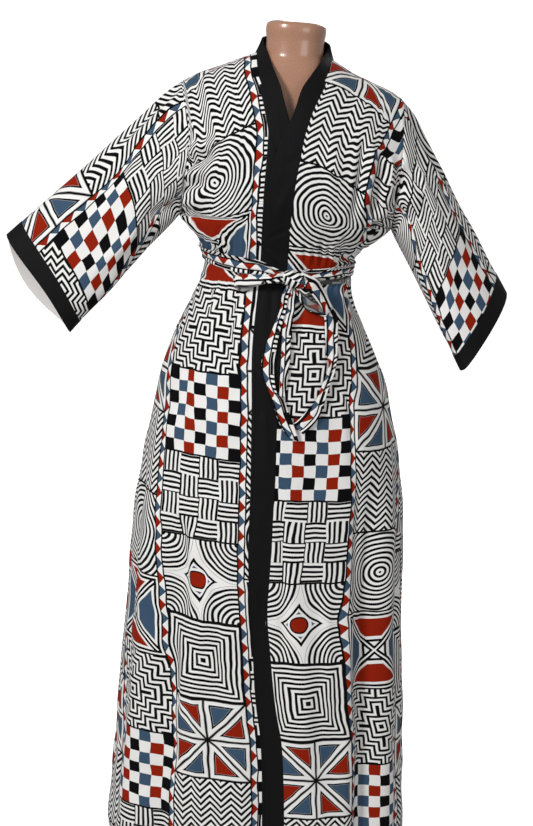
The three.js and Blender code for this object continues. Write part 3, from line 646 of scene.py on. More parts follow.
def black_cotton():
    """Plain black cotton, with the same weave and a firmer crumple."""
    material, shader = new_material("black_cotton_cloth", 0.70, 0.012, BLACK_GLOSS)
    chart = place(material, "ShaderNodeUVMap", -1200, 0)
    chart.uv_map = FLAT_MAP
    weave_tone_and_shade = cloth_relief(material, shader, chart.outputs[0], **BLACK_RELIEF)
    ground = place(material, "ShaderNodeRGB", -500, 200)
    ground.outputs[0].default_value = BLACK_CLOTH
    material.node_tree.links.new(
        tinted(material, ground.outputs[0], weave_tone_and_shade), shader.inputs["Base Color"]
    )
    return material


OFFSETS = {
    "front_right": (0.170, 0.050), "front_left": (0.008, 0.112),
    "back_right": (0.243, 0.031), "back_left": (0.108, 0.094),
    "sleeve_right": (0.081, 0.097), "sleeve_left": (0.045, 0.020), "belt": (0.139, 0.010),
}
printed = {
    name: printed_cotton(f"print_{name}", WHITE, 1.0, offset) for name, offset in OFFSETS.items()
}
wrong_side = {name: PANEL_WRONG_SIDE for name in OFFSETS} | {"belt": BELT_WRONG_SIDE_PAINTED_SHADE}
reverse = {
    name: printed_cotton(f"reverse_{name}", *wrong_side[name], offset)
    for name, offset in OFFSETS.items()
}
black_cloth = black_cotton()
pale_facing, facing_shader = new_material("cuff_wrong_side", 0.85, 0.0, CLOTH_GLOSS)
facing_shader.inputs["Base Color"].default_value = PALE_FACING
print("Materials:", len(bpy.data.materials))

# %% [markdown]
# ## From a grid to a mesh
#
# Every piece of cloth is a grid of points with a second grid that says where each point lay on
# the flat cloth. The second grid becomes the UV map, in metres, so the print runs along the real
# cloth and bends with its folds. A Solidify modifier gives the sheet its thickness, and its inner
# side takes the material of the wrong side.

# %% Grid helpers


def directions(grid, closed=False):
    """Unit vectors out of a grid: the cross product of its two ways, taken from the next points."""
    if closed:
        along = np.roll(grid, -1, 1) - np.roll(grid, 1, 1)
    else:
        along = np.gradient(grid, axis=1)
    up = np.gradient(grid, axis=0)
    out = np.cross(along, up)
    return out / np.maximum(np.linalg.norm(out, axis=2, keepdims=True), 1e-9)


def run_length(grid, axis):
    """How far each point lies along its row or column: the sum of the steps before it."""
    step = np.linalg.norm(np.diff(grid, axis=axis), axis=2)
    pad = ((1, 0), (0, 0)) if axis == 0 else ((0, 0), (1, 0))
    return np.pad(np.cumsum(step, axis=axis), pad)


def grid_mesh(name, grid, flat, closed=False, outward=1):
    """A mesh of quads over a grid in millimetres. flat has the same rows, and one column more
    where the grid is closed, for the seam of the chart."""
    rows, columns = grid.shape[:2]
    wide = columns if closed else columns - 1
    i, j = np.meshgrid(np.arange(rows - 1), np.arange(wide), indexing="ij")
    corner_rows = np.stack([i, i, i + 1, i + 1], -1).reshape(-1)
    corner_columns = np.stack([j, j + 1, j + 1, j], -1).reshape(-1)
    if outward < 0:
        corner_rows = corner_rows.reshape(-1, 4)[:, ::-1].reshape(-1)
        corner_columns = corner_columns.reshape(-1, 4)[:, ::-1].reshape(-1)
    faces = (rows - 1) * wide
    mesh = bpy.data.meshes.new(name)
    mesh.vertices.add(rows * columns)
    mesh.loops.add(faces * 4)
    mesh.polygons.add(faces)
    mesh.vertices.foreach_set("co", (grid * MM).astype(np.float32).ravel())
    mesh.loops.foreach_set("vertex_index", corner_rows * columns + corner_columns % columns)
    mesh.polygons.foreach_set("loop_start", np.arange(faces) * 4)
    mesh.update(calc_edges=True)
    chart = mesh.uv_layers.new(name=FLAT_MAP)
    places = flat[corner_rows, corner_columns] * MM
    chart.data.foreach_set("uv", places.astype(np.float32).ravel())
    mesh.polygons.foreach_set("use_smooth", np.ones(faces, bool))
    mesh.validate()
    return mesh


def add_piece(name, mesh, slot, *materials):
    """An object at the origin that rides on the one body, with the given materials. slot is not used.
    """
    piece = bpy.data.objects.new(name, mesh)
    bpy.context.collection.objects.link(piece)
    for material in materials:
        mesh.materials.append(material)
    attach(piece, "root")
    return piece


def thicken(piece, thickness):
    """Gives a sheet its thickness on both sides of its grid, and its wrong side's material."""
    shell = piece.modifiers.new("thickness", "SOLIDIFY")
    shell.thickness = thickness * MM
    shell.offset = 0.0
    shell.material_offset = 1


# %% [markdown]
# ## The robe's surface
#
# From the front the robe is an outline, and at every height it has a depth. A simulation could
# drape it, but it would hang in a pose of its own. So a level section is a superellipse, a shape
# between an ellipse and a rounded box. Large folds push the surface out or in along rays from the
# middle. The left front lies over the right one, so near its band it stands out a little more.

# %% Points of the robe


def share_across(x, z):
    """How far out from the middle a place lies, as a share of the half width at its height."""
    return np.minimum(np.abs(x - middle(z)) / half(z), 1)


def rounded_off(share):
    """A superellipse's depth at a share of its width: 1 minus the share to the power ROUND, and
    of that the root of the same power."""
    return (1 - share**ROUND) ** (1 / ROUND)


def angle_at(x, z):
    """The turn round the body in degrees, 0 in front and 90 at the wearer's left: the arc sine of
    the share of the half width, to the power that makes the section a superellipse."""
    return np.sign(x - middle(z)) * np.degrees(np.arcsin(share_across(x, z) ** (ROUND / 2)))


def x_at(angle, z):
    """The place across that belongs to an angle: the half width times a power of its sine."""
    turn = np.abs(np.sin(np.radians(angle)))
    return middle(z) + np.sign(angle) * half(z) * turn ** (2 / ROUND)


def fold_at(angle, z):
    """The sum of the large folds: each is a bell across its own slanting line, growing from
    nothing at its ends."""
    out = np.zeros(np.broadcast(angle, z).shape)
    for top, hem, start, end, width, stand in zip(*FOLDS.values()):
        centre = mix(top, hem, (start - z) / (start - HEM))
        turn = (angle - centre + 180) % 360 - 180
        grow = smooth((start - z) / FOLD_FADE) * smooth((z - end) / FOLD_FADE)
        out = out + stand * grow * bell(turn, width)
    return out


def robe_point(face, x, z, lift=0.0):
    """A point of the robe's inner side: its depth is the section's, rounded over to nothing at
    the shoulder, and folds and lift move it out along its angle."""
    sign = -1 if face == "front" else 1
    flat = angle_at(x, z)
    angle = flat if face == "front" else 180 - flat
    up = np.clip((z - CHEST) / (shoulder(x) - CHEST), 0, 1)
    depth = depth_of[face](z) * rounded_off(share_across(x, z)) * rounded_off(up)
    out = fold_at(angle, z) + lift
    turn = np.radians(angle)
    return np.stack([x + out * np.sin(turn), sign * depth - out * np.cos(turn), z], -1)


def overlap_lift(x, z, seam):
    """How far the left front stands out: full at its band, gone beside it and at the top."""
    beside = smooth((x - seam - OVERLAP_FROM) / OVERLAP_REACH)
    return OVERLAP * (1 - beside) * smooth((OVERLAP_TOP - z) / OVERLAP_FADE)


def side_end(side, z):
    """The outer end of a row: the side seam below the underarm and the armhole above it."""
    sign = 1 if side == "left" else -1
    at_arm = np.minimum(armhole[side](z), half(z))
    return np.where(z <= UNDERARM, middle(z) + sign * half(z), sign * at_arm)


def settle_height(start, share, place_at):
    """The height of a row at its end: share of the way up to the shoulder seam above that end,
    found by taking the same step again until it stays."""
    z = mix(UNDERARM, start, share)
    for _ in range(12):
        z = mix(UNDERARM, shoulder(place_at(z)), share)
    return z


# %% [markdown]
# ## Creases
#
# The large folds come from how the robe hangs. On top of them, cloth that is pulled shows
# creases: they fan out from the underarms, gather above and below the belt and drop from the
# bust. They could be sculpted with brushes, but then nobody could read or change them. So each is
# a row in a table: where it starts and ends, how far it bows, how wide it is and how far it
# stands out, or in where that is negative. A trough has a low ridge on each side, as when cloth
# is pushed together. A fold also takes up cloth, and the print closes up where it crosses one.

# %% Creases
CREASE_DEPTH = 1.9
TAKE_UP = 1.9
CINCH_AT = 1177
GATHER_DEPTH = 1.9
GATHER_PITCH = 11.5
WAVES = 5
FULL_TURN = 6.283


def each_crease(rows, a, b):
    """For each crease: its direction, how far places a, b are across its line, its width there,
    and its depth, which rises and falls softly along it, steeper at its start than at its end."""
    for a0, b0, a1, b1, bow, width, stand in zip(*rows.values()):
        length = math.hypot(a1 - a0, b1 - b0)
        ta, tb = (a1 - a0) / length, (b1 - b0) / length
        along = ((a - a0) * ta + (b - b0) * tb) / length
        across = (a - a0) * -tb + (b - b0) * ta - bow * 4 * along * (1 - along)
        grow = smooth((along + 0.08) / 0.22) * smooth((1.08 - along) / 0.5)
        yield ta, tb, across, width * (0.75 + 0.5 * np.clip(along, 0, 1)), stand * grow


def relief(rows, a, b):
    """The sum of creases at places a, b. Across its line a crease is a bell minus part of a wider
    one."""
    out = np.zeros(np.broadcast(a, b).shape)
    for _, _, across, width, stand in each_crease(rows, a, b):
        out = out + stand * (bell(across, width) - 0.3 * bell(across, 2.1 * width))
    return CREASE_DEPTH * out


def taken_up(rows, a, b):
    """How far the flat cloth at places a, b is shifted, because each crease takes up cloth: away
    from the crease's line, by the share of the width across times a wide bell."""
    shift = np.zeros((*np.broadcast(a, b).shape, 2))
    for ta, tb, across, width, stand in each_crease(rows, a, b):
        amount = TAKE_UP * np.abs(stand) * across / width * bell(across, 1.9 * width)
        shift = shift + np.stack([-tb * amount, ta * amount], -1)
    return shift


def gathers(x, z, weight):
    """Fine upright folds just above and below the belt: a cosine across the cloth whose pitch
    drifts, times a bell in height on each side of the belt."""
    drift = 4 * np.sin(x / 17) + 0.06 * (z - CINCH_AT)
    wave = np.cos(FULL_TURN * (x + drift) / GATHER_PITCH)
    band = bell(z - CINCH_AT - 32, 21) + 0.8 * bell(z - CINCH_AT + 28, 17)
    return GATHER_DEPTH * wave * band * weight


def cinched(rise, z):
    """Presses the cloth level under the belt."""
    return rise * (1 - bell(z - CINCH_AT, 15)) - 0.5 * bell(z - CINCH_AT, 12)


def ripple(a, b, seed, size):
    """A slight unevenness: a few waves in directions and lengths from a seeded draw."""
    random = np.random.default_rng(seed)
    out = np.zeros(np.broadcast(a, b).shape)
    for _ in range(WAVES):
        turn, length, phase = random.uniform(0, 6.3), random.uniform(70, 190), random.uniform(0, 6.3)
        way = a * math.cos(turn) + b * math.sin(turn)
        out = out + np.sin(FULL_TURN * way / length + phase)
    return out * size / WAVES


CREASE_COLUMNS = "x0 z0 x1 z1 bow width stand"
CREASES = {
    "front_right": table(
        CREASE_COLUMNS,
        (-202, 1358, -104, 1398, 6, 10, 5.5), (-200, 1338, -112, 1374, 5, 9, -7.0),
        (-198, 1316, -124, 1344, 8, 8, 5.0), (-196, 1302, -136, 1316, 4, 7, -6.5),
        (-194, 1288, -142, 1294, -4, 7, 4.5), (-190, 1276, -136, 1258, -4, 7, -5.5),
        (-186, 1262, -138, 1226, -3, 6, 3.5), (-180, 1250, -144, 1204, -2, 6, -4.0),
        (-95, 1400, -88, 1240, -5, 15, 3.0), (-60, 1350, -66, 1215, 3, 8, -2.6),
        (-120, 1196, -112, 1256, 2, 5, -2.6), (-101, 1196, -97, 1238, -1, 4, 2.0),
        (-84, 1196, -86, 1248, 1, 5, -2.2), (-66, 1196, -64, 1232, 0, 4, 1.8),
        (-118, 1160, -132, 1060, -3, 6, -2.8), (-100, 1160, -106, 1095, 1, 5, 2.2),
        (-80, 1160, -80, 960, -3, 6, -3.2), (-64, 1160, -62, 1100, 0, 4, 1.8),
        (-150, 1010, -160, 880, -4, 9, -2.5), (-96, 640, -108, 470, 5, 9, 2.8),
        (-148, 720, -132, 510, 0, 11, -4.0), (-70, 560, -60, 400, -4, 9, -2.4),
        (-154, 470, -138, 190, 4, 13, -4.5), (-112, 420, -96, 150, 5, 13, 3.0),
    ),
    "front_left": table(
        CREASE_COLUMNS,
        (120, 1412, 108, 1250, 5, 8, -5.5), (136, 1404, 128, 1284, 4, 7, 3.5),
        (154, 1392, 142, 1264, 5, 8, -5.0), (172, 1384, 163, 1278, 4, 7, 4.0),
        (188, 1376, 184, 1292, 3, 6, -5.0), (192, 1298, 132, 1264, -4, 7, 4.5),
        (190, 1284, 130, 1242, -3, 6, -5.5), (186, 1266, 126, 1222, 2, 6, 4.0),
        (180, 1250, 122, 1198, 2, 6, -4.5), (70, 1420, 62, 1260, 6, 16, 2.6),
        (134, 1240, 112, 1198, 1, 4, -3.0), (98, 1196, 102, 1252, -1, 4, -2.8),
        (84, 1196, 86, 1240, 1, 4, 2.4), (112, 1196, 120, 1236, -1, 4, 2.6),
        (66, 1196, 64, 1248, 1, 5, -2.2), (44, 1196, 42, 1228, 0, 4, 1.6),
        (116, 1160, 136, 1070, 3, 6, -3.2), (100, 1160, 110, 1100, -1, 5, 2.4),
        (84, 1160, 92, 1000, 3, 6, -2.8), (62, 1160, 64, 1104, 0, 5, 2.0),
        (40, 1160, 44, 1010, -2, 7, -2.2), (128, 980, 150, 820, 4, 9, -3.0),
        (30, 480, 52, 300, 5, 9, 3.0), (162, 830, 206, 250, -5, 13, -4.5),
        (22, 770, 52, 430, 3, 10, -3.2), (118, 600, 142, 260, 5, 14, 2.8),
    ),
    "back": table(
        CREASE_COLUMNS,
        (-186, 1286, -96, 1340, 6, 10, -6.0), (-186, 1268, -110, 1290, 4, 8, 4.0),
        (186, 1286, 92, 1346, -6, 10, -6.0), (186, 1266, 112, 1284, -4, 8, 4.2),
        (-176, 1248, -120, 1206, -3, 7, -4.0), (176, 1248, 118, 1204, 3, 7, -4.2),
        (-92, 1500, -70, 1330, -6, 14, 3.0), (86, 1494, 76, 1320, 6, 14, 2.8),
        (-112, 1196, -108, 1260, 1, 5, -3.0), (-84, 1196, -78, 1280, -2, 6, 2.4),
        (-56, 1196, -58, 1254, 1, 5, -2.6), (-20, 1196, -12, 1290, 2, 7, 2.4),
        (18, 1196, 14, 1262, 1, 5, -2.8), (50, 1196, 56, 1284, -2, 6, 2.2),
        (84, 1196, 88, 1250, 1, 5, -2.6), (108, 1196, 112, 1270, -1, 6, 2.4),
        (-112, 1160, -128, 1060, 2, 6, -3.2), (-80, 1160, -92, 1010, -3, 7, 2.8),
        (-48, 1160, -54, 1080, 1, 6, -3.0), (-16, 1160, -18, 1000, 3, 8, 2.6),
        (22, 1160, 26, 1070, 1, 6, -3.0), (58, 1160, 66, 1020, -3, 7, 2.6),
        (96, 1160, 112, 1070, 2, 6, -3.0), (-150, 760, -176, 330, -4, 13, -4.5),
        (-92, 640, -110, 260, 4, 14, 3.0), (134, 720, 160, 300, 4, 13, -4.2),
        (70, 560, 84, 220, -4, 13, 3.0), (-24, 600, -30, 240, 3, 12, -3.0),
    ),
}
print("Creases:", {name: len(rows["x0"]) for name, rows in CREASES.items()})

# %% [markdown]
# ## Fronts and back
#
# Each front is one length of cloth from the shoulder to the hem. A single tube round the body
# would be simpler, but a real robe has seams, where the print jumps. A panel's rows are level
# below the underarm. Above it they rise in shares of the way to the shoulder seam, so the last
# row is the seam itself. Each row goes from one seam to the other by equal turns round the body,
# which puts more points where the body curves. Next to the black band the panel runs on a little,
# because there its edge is sewn in between the band's layers.

# %% Rows of a panel
LOW_STEPS = 226
HIGH_STEPS = 56
COLUMNS = 110
SEAM_TUCK = 1.2
SEAM_GAP = 0.05
TUCKED = 4
HEM_TURN = 22
HEM_RISE = 0.5
BAND_TOP = {"right": BAND_RIGHT["z"][-1], "left": BAND_LEFT["z"][-1]}
ARM_TOP = ARMHOLE["z"][-1]


def panel_rows():
    """Heights of the low rows, closer at the waist and chest than at the hem, and shares of the
    high ones, packed towards the shoulder."""
    q = np.linspace(0, 1, LOW_STEPS)[1:]
    low = HEM + (UNDERARM - HEM) * np.concatenate([[0, 0.0006], q * (1.35 - 0.35 * q)])
    high = np.sin(np.linspace(0, np.pi / 2, HIGH_STEPS + 1)[1:])
    return low, np.concatenate([high[:-1], [0.9985, 1]])


LOW_ROWS, SHARES = panel_rows()
ARMPIT_ROW = len(LOW_ROWS) - 1
ROW_SHARES = np.concatenate([np.full(len(LOW_ROWS), np.nan), SHARES])[:, None]


def row_heights(side):
    """Heights of all rows at the armhole's end."""
    return np.concatenate([LOW_ROWS, settle_height(ARM_TOP, SHARES, lambda z: side_end(side, z))])


def seam_heights(side):
    """Heights of all rows at the band's seam."""
    return np.concatenate([LOW_ROWS, settle_height(BAND_TOP[side], SHARES, seam_x[side])])


def point_heights(z_rows, roof):
    """Heights of all points: a low row is level, and a high one is at its share of the way from
    the underarm up to the roof line."""
    return np.where(np.isnan(ROW_SHARES), z_rows, mix(UNDERARM, roof, ROW_SHARES))


def tuck(distance, width=3.0):
    """A seam pulls the cloth in over its last few millimetres."""
    return -SEAM_TUCK * bell(distance, width)


def hem_fold(z):
    """The cloth stands out a little as far up as its hem is turned."""
    return HEM_RISE * (1 - smooth((z - HEM - HEM_TURN + 2) / 3))


def hold_seams(grid, face):
    """Keeps a panel on its own side of the plane of the side and shoulder seams."""
    sign = -1 if face == "front" else 1
    grid[..., 1] = np.where(sign * grid[..., 1] < SEAM_GAP, sign * SEAM_GAP, grid[..., 1])


def flat_chart(grid, zero_column, sign):
    """Where each point lay on the flat cloth: across from one column, and along from the hem."""
    across = run_length(grid, 1)
    across = (across - across[:, zero_column : zero_column + 1]) * sign
    return np.stack([across, run_length(grid, 0) + HEM], -1)


def flat_area(flat):
    """Square metres of a chart: half the cross product of the two diagonals of each quad."""
    one = flat[1:, 1:] - flat[:-1, :-1]
    other = flat[1:, :-1] - flat[:-1, 1:]
    return float(np.abs(one[..., 0] * other[..., 1] - one[..., 1] * other[..., 0]).sum()) / 2e6


def declare_cloth(piece, flat, held="draped", rests_on=("form_body",)):
    """Prints the flat size of a sheet."""
    across, along = np.ptp(flat[..., 0]) * MM, np.ptp(flat[..., 1]) * MM
    cut = min(flat_area(flat), across * along)
    print(f"{piece.name}: {across:.3f} by {along:.3f} m flat, {cut:.4f} square metres")


def add_sheet(name, mesh, flat, slot, materials, thickness=CLOTH, **how):
    """A sheet of cloth in place of the CAD node of its name, with its thickness and flat size."""
    piece = add_piece(f"{name}_cloth", mesh, slot, *materials)
    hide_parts(name)
    thicken(piece, thickness)
    declare_cloth(piece, flat, **how)


def add_print(name, mesh, flat, **how):
    """A sheet of the printed cotton, with its own part of the design."""
    add_sheet(name, mesh, flat, "print_cotton", (printed[name], reverse[name]), **how)


# %% The two fronts
RIPPLE = 3.0
RIPPLE_SEED = {"left": 3, "right": 5, "back": 7}


def front_grid(side, tucked=TUCKED):
    """The front from its band's seam round to the side seam or armhole, on the wall's inner side,
    with the place across and the height of each point."""
    z_rows = row_heights(side)[:, None]
    seam = seam_x[side](seam_heights(side)) + (tucked if side == "right" else -tucked)
    end = side_end(side, z_rows[:, 0])
    s = edged(COLUMNS, 0.002)
    first, last = angle_at(seam[:, None], z_rows), angle_at(end[:, None], z_rows)
    x = x_at(mix(first, last, s), z_rows)
    x[:, 0], x[:, -1] = seam, end
    z = point_heights(z_rows, shoulder(x))
    lift = overlap_lift(x, z, seam_x[side](z)) if side == "left" else 0.0
    return robe_point("front", x, z, lift), x, z


def away_from_edges(distances, fade):
    """0 at each edge and 1 further in than the fade: the product of smooth steps."""
    inside = 1.0
    for distance in distances:
        inside = inside * smooth(distance / fade)
    return inside


def make_front(side):
    """One front with its creases, its seams tucked in, its turned hem, and its chart."""
    name = f"front_{side}"
    sign = 1 if side == "left" else -1
    grid, x, z = front_grid(side)
    out = directions(grid) * sign
    run = run_length(grid, 1)
    to_side = run[:, -1:] - run
    inside = away_from_edges([run - 2, z - HEM + 25], 24) * smooth((to_side - 1) / 10)
    rise = relief(CREASES[name], x, z) + ripple(x, z, RIPPLE_SEED[side], RIPPLE)
    rise = rise + gathers(x, z, mix(0.55, 1.15, smooth(sign * x / 70)))
    rise = cinched(rise * inside, z) + tuck(to_side)
    grid = grid + out * (CAD_WALL / 2 + rise + hem_fold(z))[..., None]
    flat = flat_chart(grid, 0, sign) + taken_up(CREASES[name], x, z) * inside[..., None]
    hold_seams(grid, "front")
    add_print(name, grid_mesh(name, grid, flat, outward=sign), flat)
    return grid, out


fronts = {side: make_front(side) for side in ("right", "left")}

# %% [markdown]
# The back is cut in two halves, which are sewn together down the middle, as such robes are. Both
# halves come from one surface, so their folds run across the seam. A narrow groove marks it.

# %% The back
NECK = {"right": BAND_RIGHT["seam"][-1], "left": BAND_LEFT["seam"][-1]}
NECK_COLUMNS = 26
NECK_SPREAD = 1.5
CENTRE_GROOVE = -1.3


def neckline(x, drop=NECKLINE_DROP):
    """The back's top edge across the neck: the roof line, lowered by a parabola."""
    share = np.minimum(np.abs(x / np.where(x < 0, NECK["right"], NECK["left"])), 1)
    return shoulder(x) - drop * (1 - share**2)


def back_grid(drop=NECKLINE_DROP - TUCKED):
    """Side seam to side seam below and armhole to armhole above, with the neckline on top. The
    columns under the neck keep their places across, and spread a little towards the hem."""
    heights = {side: row_heights(side) for side in ("right", "left")}
    z_rows = (heights["right"] + heights["left"])[:, None] / 2
    end = {side: side_end(side, z)[:, None] for side, z in heights.items()}
    spread = mix(NECK_SPREAD, 1.0, smooth((z_rows - HEM) / (UNDERARM - HEM)))
    s = edged(COLUMNS // 2, 0.003)
    near_middle = np.linspace(1, 0, NECK_COLUMNS + 1) ** 1.5
    columns = {}
    for side in ("right", "left"):
        inner = angle_at(NECK[side] * spread, z_rows)
        outer = x_at(mix(angle_at(end[side], z_rows), inner, s), z_rows)
        outer[:, :1] = end[side]
        columns[side] = np.concatenate([outer[:, :-1], NECK[side] * spread * near_middle], 1)
    x = np.concatenate([columns["right"], columns["left"][:, -2::-1]], 1)
    z = point_heights(z_rows, neckline(x, drop))
    return robe_point("back", x, z), x, z


def make_back():
    """The back's surface with its creases and seams, then one piece for each half."""
    grid, x, z = back_grid()
    centre = grid.shape[1] // 2
    out = -directions(grid)
    run = run_length(grid, 1)
    to_middle = np.abs(run - run[:, centre : centre + 1])
    to_side = np.minimum(run, run[:, -1:] - run)
    inside = away_from_edges([z - HEM + 25, neckline(x) - z + 8], 24) * smooth((to_side - 1) / 10)
    rise = relief(CREASES["back"], x, z) + ripple(x, z, RIPPLE_SEED["back"], RIPPLE)
    rise = rise + gathers(x, z, 0.8)
    rise = cinched(rise * inside, z) + tuck(to_side) + CENTRE_GROOVE * bell(to_middle, 2.2)
    grid = grid + out * (CAD_WALL / 2 + rise + hem_fold(z))[..., None]
    flat = flat_chart(grid, centre, 1) + taken_up(CREASES["back"], x, z) * inside[..., None]
    hold_seams(grid, "back")
    for side, part in (("right", np.s_[:, : centre + 1]), ("left", np.s_[:, centre:])):
        name = f"back_{side}"
        add_print(name, grid_mesh(name, grid[part], flat[part], outward=-1), flat[part])
    return grid, out


back_surface, back_out = make_back()

# %% [markdown]
# ## The black bands
#
# The band round the neck is one doubled strip, about as wide as three fingers. It covers the raw
# edges of the fronts and the neckline, so the panels vanish between its layers. It could be a
# thickened sheet like the panels, but its soft round edges show. So its section is a closed loop:
# two level faces joined by half circles. It is carried up the front edge, over the shoulder and
# round to the nape, where the right half meets the left one.

# %% A doubled strip
BAND_WIDTH = 36
BAND_HALF = 1.25
BAND_FACE_STEPS = 14
ROUND_STEPS = 6
NAPE_STEPS = 40
SOFT_ROWS = 26
SOFT_TIMES = 30


def strip_section(width, half, face_steps):
    """A doubled strip's section as a closed loop: the share across, and the height above its
    middle. Each edge is a half circle, whose radius is half the strip's thickness."""
    turn = np.linspace(0, np.pi, ROUND_STEPS + 1)[1:-1]
    inset = half / width
    face = np.linspace(inset, 1 - inset, face_steps + 1)
    level = np.full(len(face), half)
    free, seam = 1 - inset + inset * np.sin(turn), inset - inset * np.sin(turn)
    share = np.concatenate([face, free, face[::-1], seam])
    return share, np.concatenate([level, half * np.cos(turn), -level, -half * np.cos(turn)])


def sample(grid, share):
    """Columns of a grid at shares across it, between its own columns by straight lines."""
    place = share * (grid.shape[1] - 1)
    i = np.minimum(place.astype(int), grid.shape[1] - 2)
    t = (place - i)[:, None]
    return mix(grid[:, i], grid[:, i + 1], t)


def soften(grid, times):
    """Evens out a grid along its columns: each inner row becomes a quarter of the rows beside it
    and half of itself."""
    for _ in range(times):
        grid[1:-1] = (grid[:-2] + 2 * grid[1:-1] + grid[2:]) / 4
    return grid


def close_up(mesh):
    """Joins doubled points of a closed shape and makes its faces point outwards."""
    shape = bmesh.new()
    shape.from_mesh(mesh)
    bmesh.ops.remove_doubles(shape, verts=shape.verts, dist=1e-6)
    bmesh.ops.dissolve_degenerate(shape, edges=shape.edges, dist=1e-7)
    bmesh.ops.recalc_face_normals(shape, faces=shape.faces)
    shape.to_mesh(mesh)
    shape.free()
    return mesh


# %% The bands
BAND_JOINS = table("z width depth", (1046, 2.0, -0.8), (476, 2.0, -0.8))
BAND_CREASES = {
    "right": table(
        CREASE_COLUMNS,
        (-30, 1400, -4, 1330, 3, 7, -1.7), (-20, 1230, -8, 1196, 0, 5, 1.7),
        (-30, 1010, -12, 940, 2, 8, -1.4), (-24, 700, -6, 640, 0, 8, 1.7),
    ),
    "left": table(
        CREASE_COLUMNS,
        (-34, 1386, 6, 1352, 2, 8, -1.7), (4, 1330, -20, 1258, -3, 9, 1.6),
        (-31, 1234, 10, 1254, 2, 3.5, -1.5), (-30, 1215, -10, 1192, 0, 4, 1.7),
        (-20, 1160, -16, 1060, 2, 7, -1.5), (-40, 1012, 2, 1000, 1, 4, -1.2),
        (-18, 930, -2, 820, 2, 9, 1.6), (0, 620, 12, 520, -2, 8, -1.5),
    ),
}


def band_surface(side):
    """The strip's middle surface in even shares across, from the hem to the shoulder by its own
    table and from there round to the nape between two curves. The turn there is softened."""
    rows = bands[side]
    edge, rise = curve(rows, "z", "edge"), curve(rows, "z", "rise")
    t = np.linspace(0, 1, BAND_FACE_STEPS + 1)
    z = seam_heights(side)[:, None]
    seam = seam_x[side](z)
    x = mix(seam, edge(z), t)
    lift = overlap_lift(seam, z, seam) if side == "left" else 0.0
    height = z + rise(z) * t
    front = robe_point("front", x, height, lift)
    k = np.linspace(0, 1, NAPE_STEPS + 1)[1:, None]
    seam_at = NECK[side] * (1 - k)
    start = robe_point("back", seam_at, neckline(seam_at))
    turn = k * np.pi / 2
    shoulder_top = rows["z"][-1] + rows["rise"][-1]
    top = np.stack(
        [
            rows["edge"][-1] * np.cos(turn),
            NAPE["y"] * np.sin(turn),
            mix(shoulder_top, NAPE["z"], np.sin(turn)),
        ],
        -1,
    )
    nape = mix(start, top, t[:, None])
    grid = np.concatenate([front, nape])
    top_rows = np.s_[len(z) - SOFT_ROWS : -1]
    grid[top_rows] = soften(grid[top_rows].copy(), SOFT_TIMES)
    sign = 1 if side == "right" else -1
    out = directions(grid) * sign
    height = grid[..., 2]
    bumps = relief(BAND_CREASES[side], grid[..., 0], height) + ripple(grid[..., 0], height, 11, 0.8)
    for at, width, depth in zip(*BAND_JOINS.values()):
        bumps = bumps + depth * bell(height - at, width) * (side == "left")
    bumps = bumps * (grid[..., 1] < 0) * smooth((height - HEM) / 40)
    return grid + out * (CAD_WALL / 2 + bumps)[..., None], out, t


def make_band(side):
    """The doubled strip round its middle surface, closed at the hem and at the nape."""
    grid, out, t = band_surface(side)
    share, up = strip_section(BAND_WIDTH, BAND_HALF, BAND_FACE_STEPS * 2)
    full = np.ones(len(grid))
    full[[0, -1]] = 0
    full[[1, -2]] = 0.8
    loop = sample(grid, share) + sample(out, share) * (up * full[:, None])[..., None]
    along = run_length(grid, 0)[:, :1] + HEM
    wide = np.append(share, share[0]) * BAND_WIDTH
    flat = np.stack(np.broadcast_arrays(wide, along), -1)
    name = f"neck_band_{side}"
    mesh = close_up(grid_mesh(name, loop, flat, closed=True))
    piece = add_piece(f"{name}_cloth", mesh, "black_cotton", black_cloth)
    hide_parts(name)
    face = np.stack(np.broadcast_arrays(t * BAND_WIDTH, along), -1)
    declare_cloth(piece, face)


for side in ("right", "left"):
    make_band(side)

# %% [markdown]
# ## Sleeves and cuffs
#
# A sleeve is a wide tube that is folded flat along its top. It could be a bent cylinder, but that
# wouldn't meet the armhole. It starts at the armhole's rim and ends in a long flat mouth, so it
# is a ruled surface between two loops. The loop of the mouth is an ellipse: its middle, minus the
# vector to its top end times a cosine, plus the vector to its front times a sine. The cuff is the
# last stretch of the same surface in black cotton.

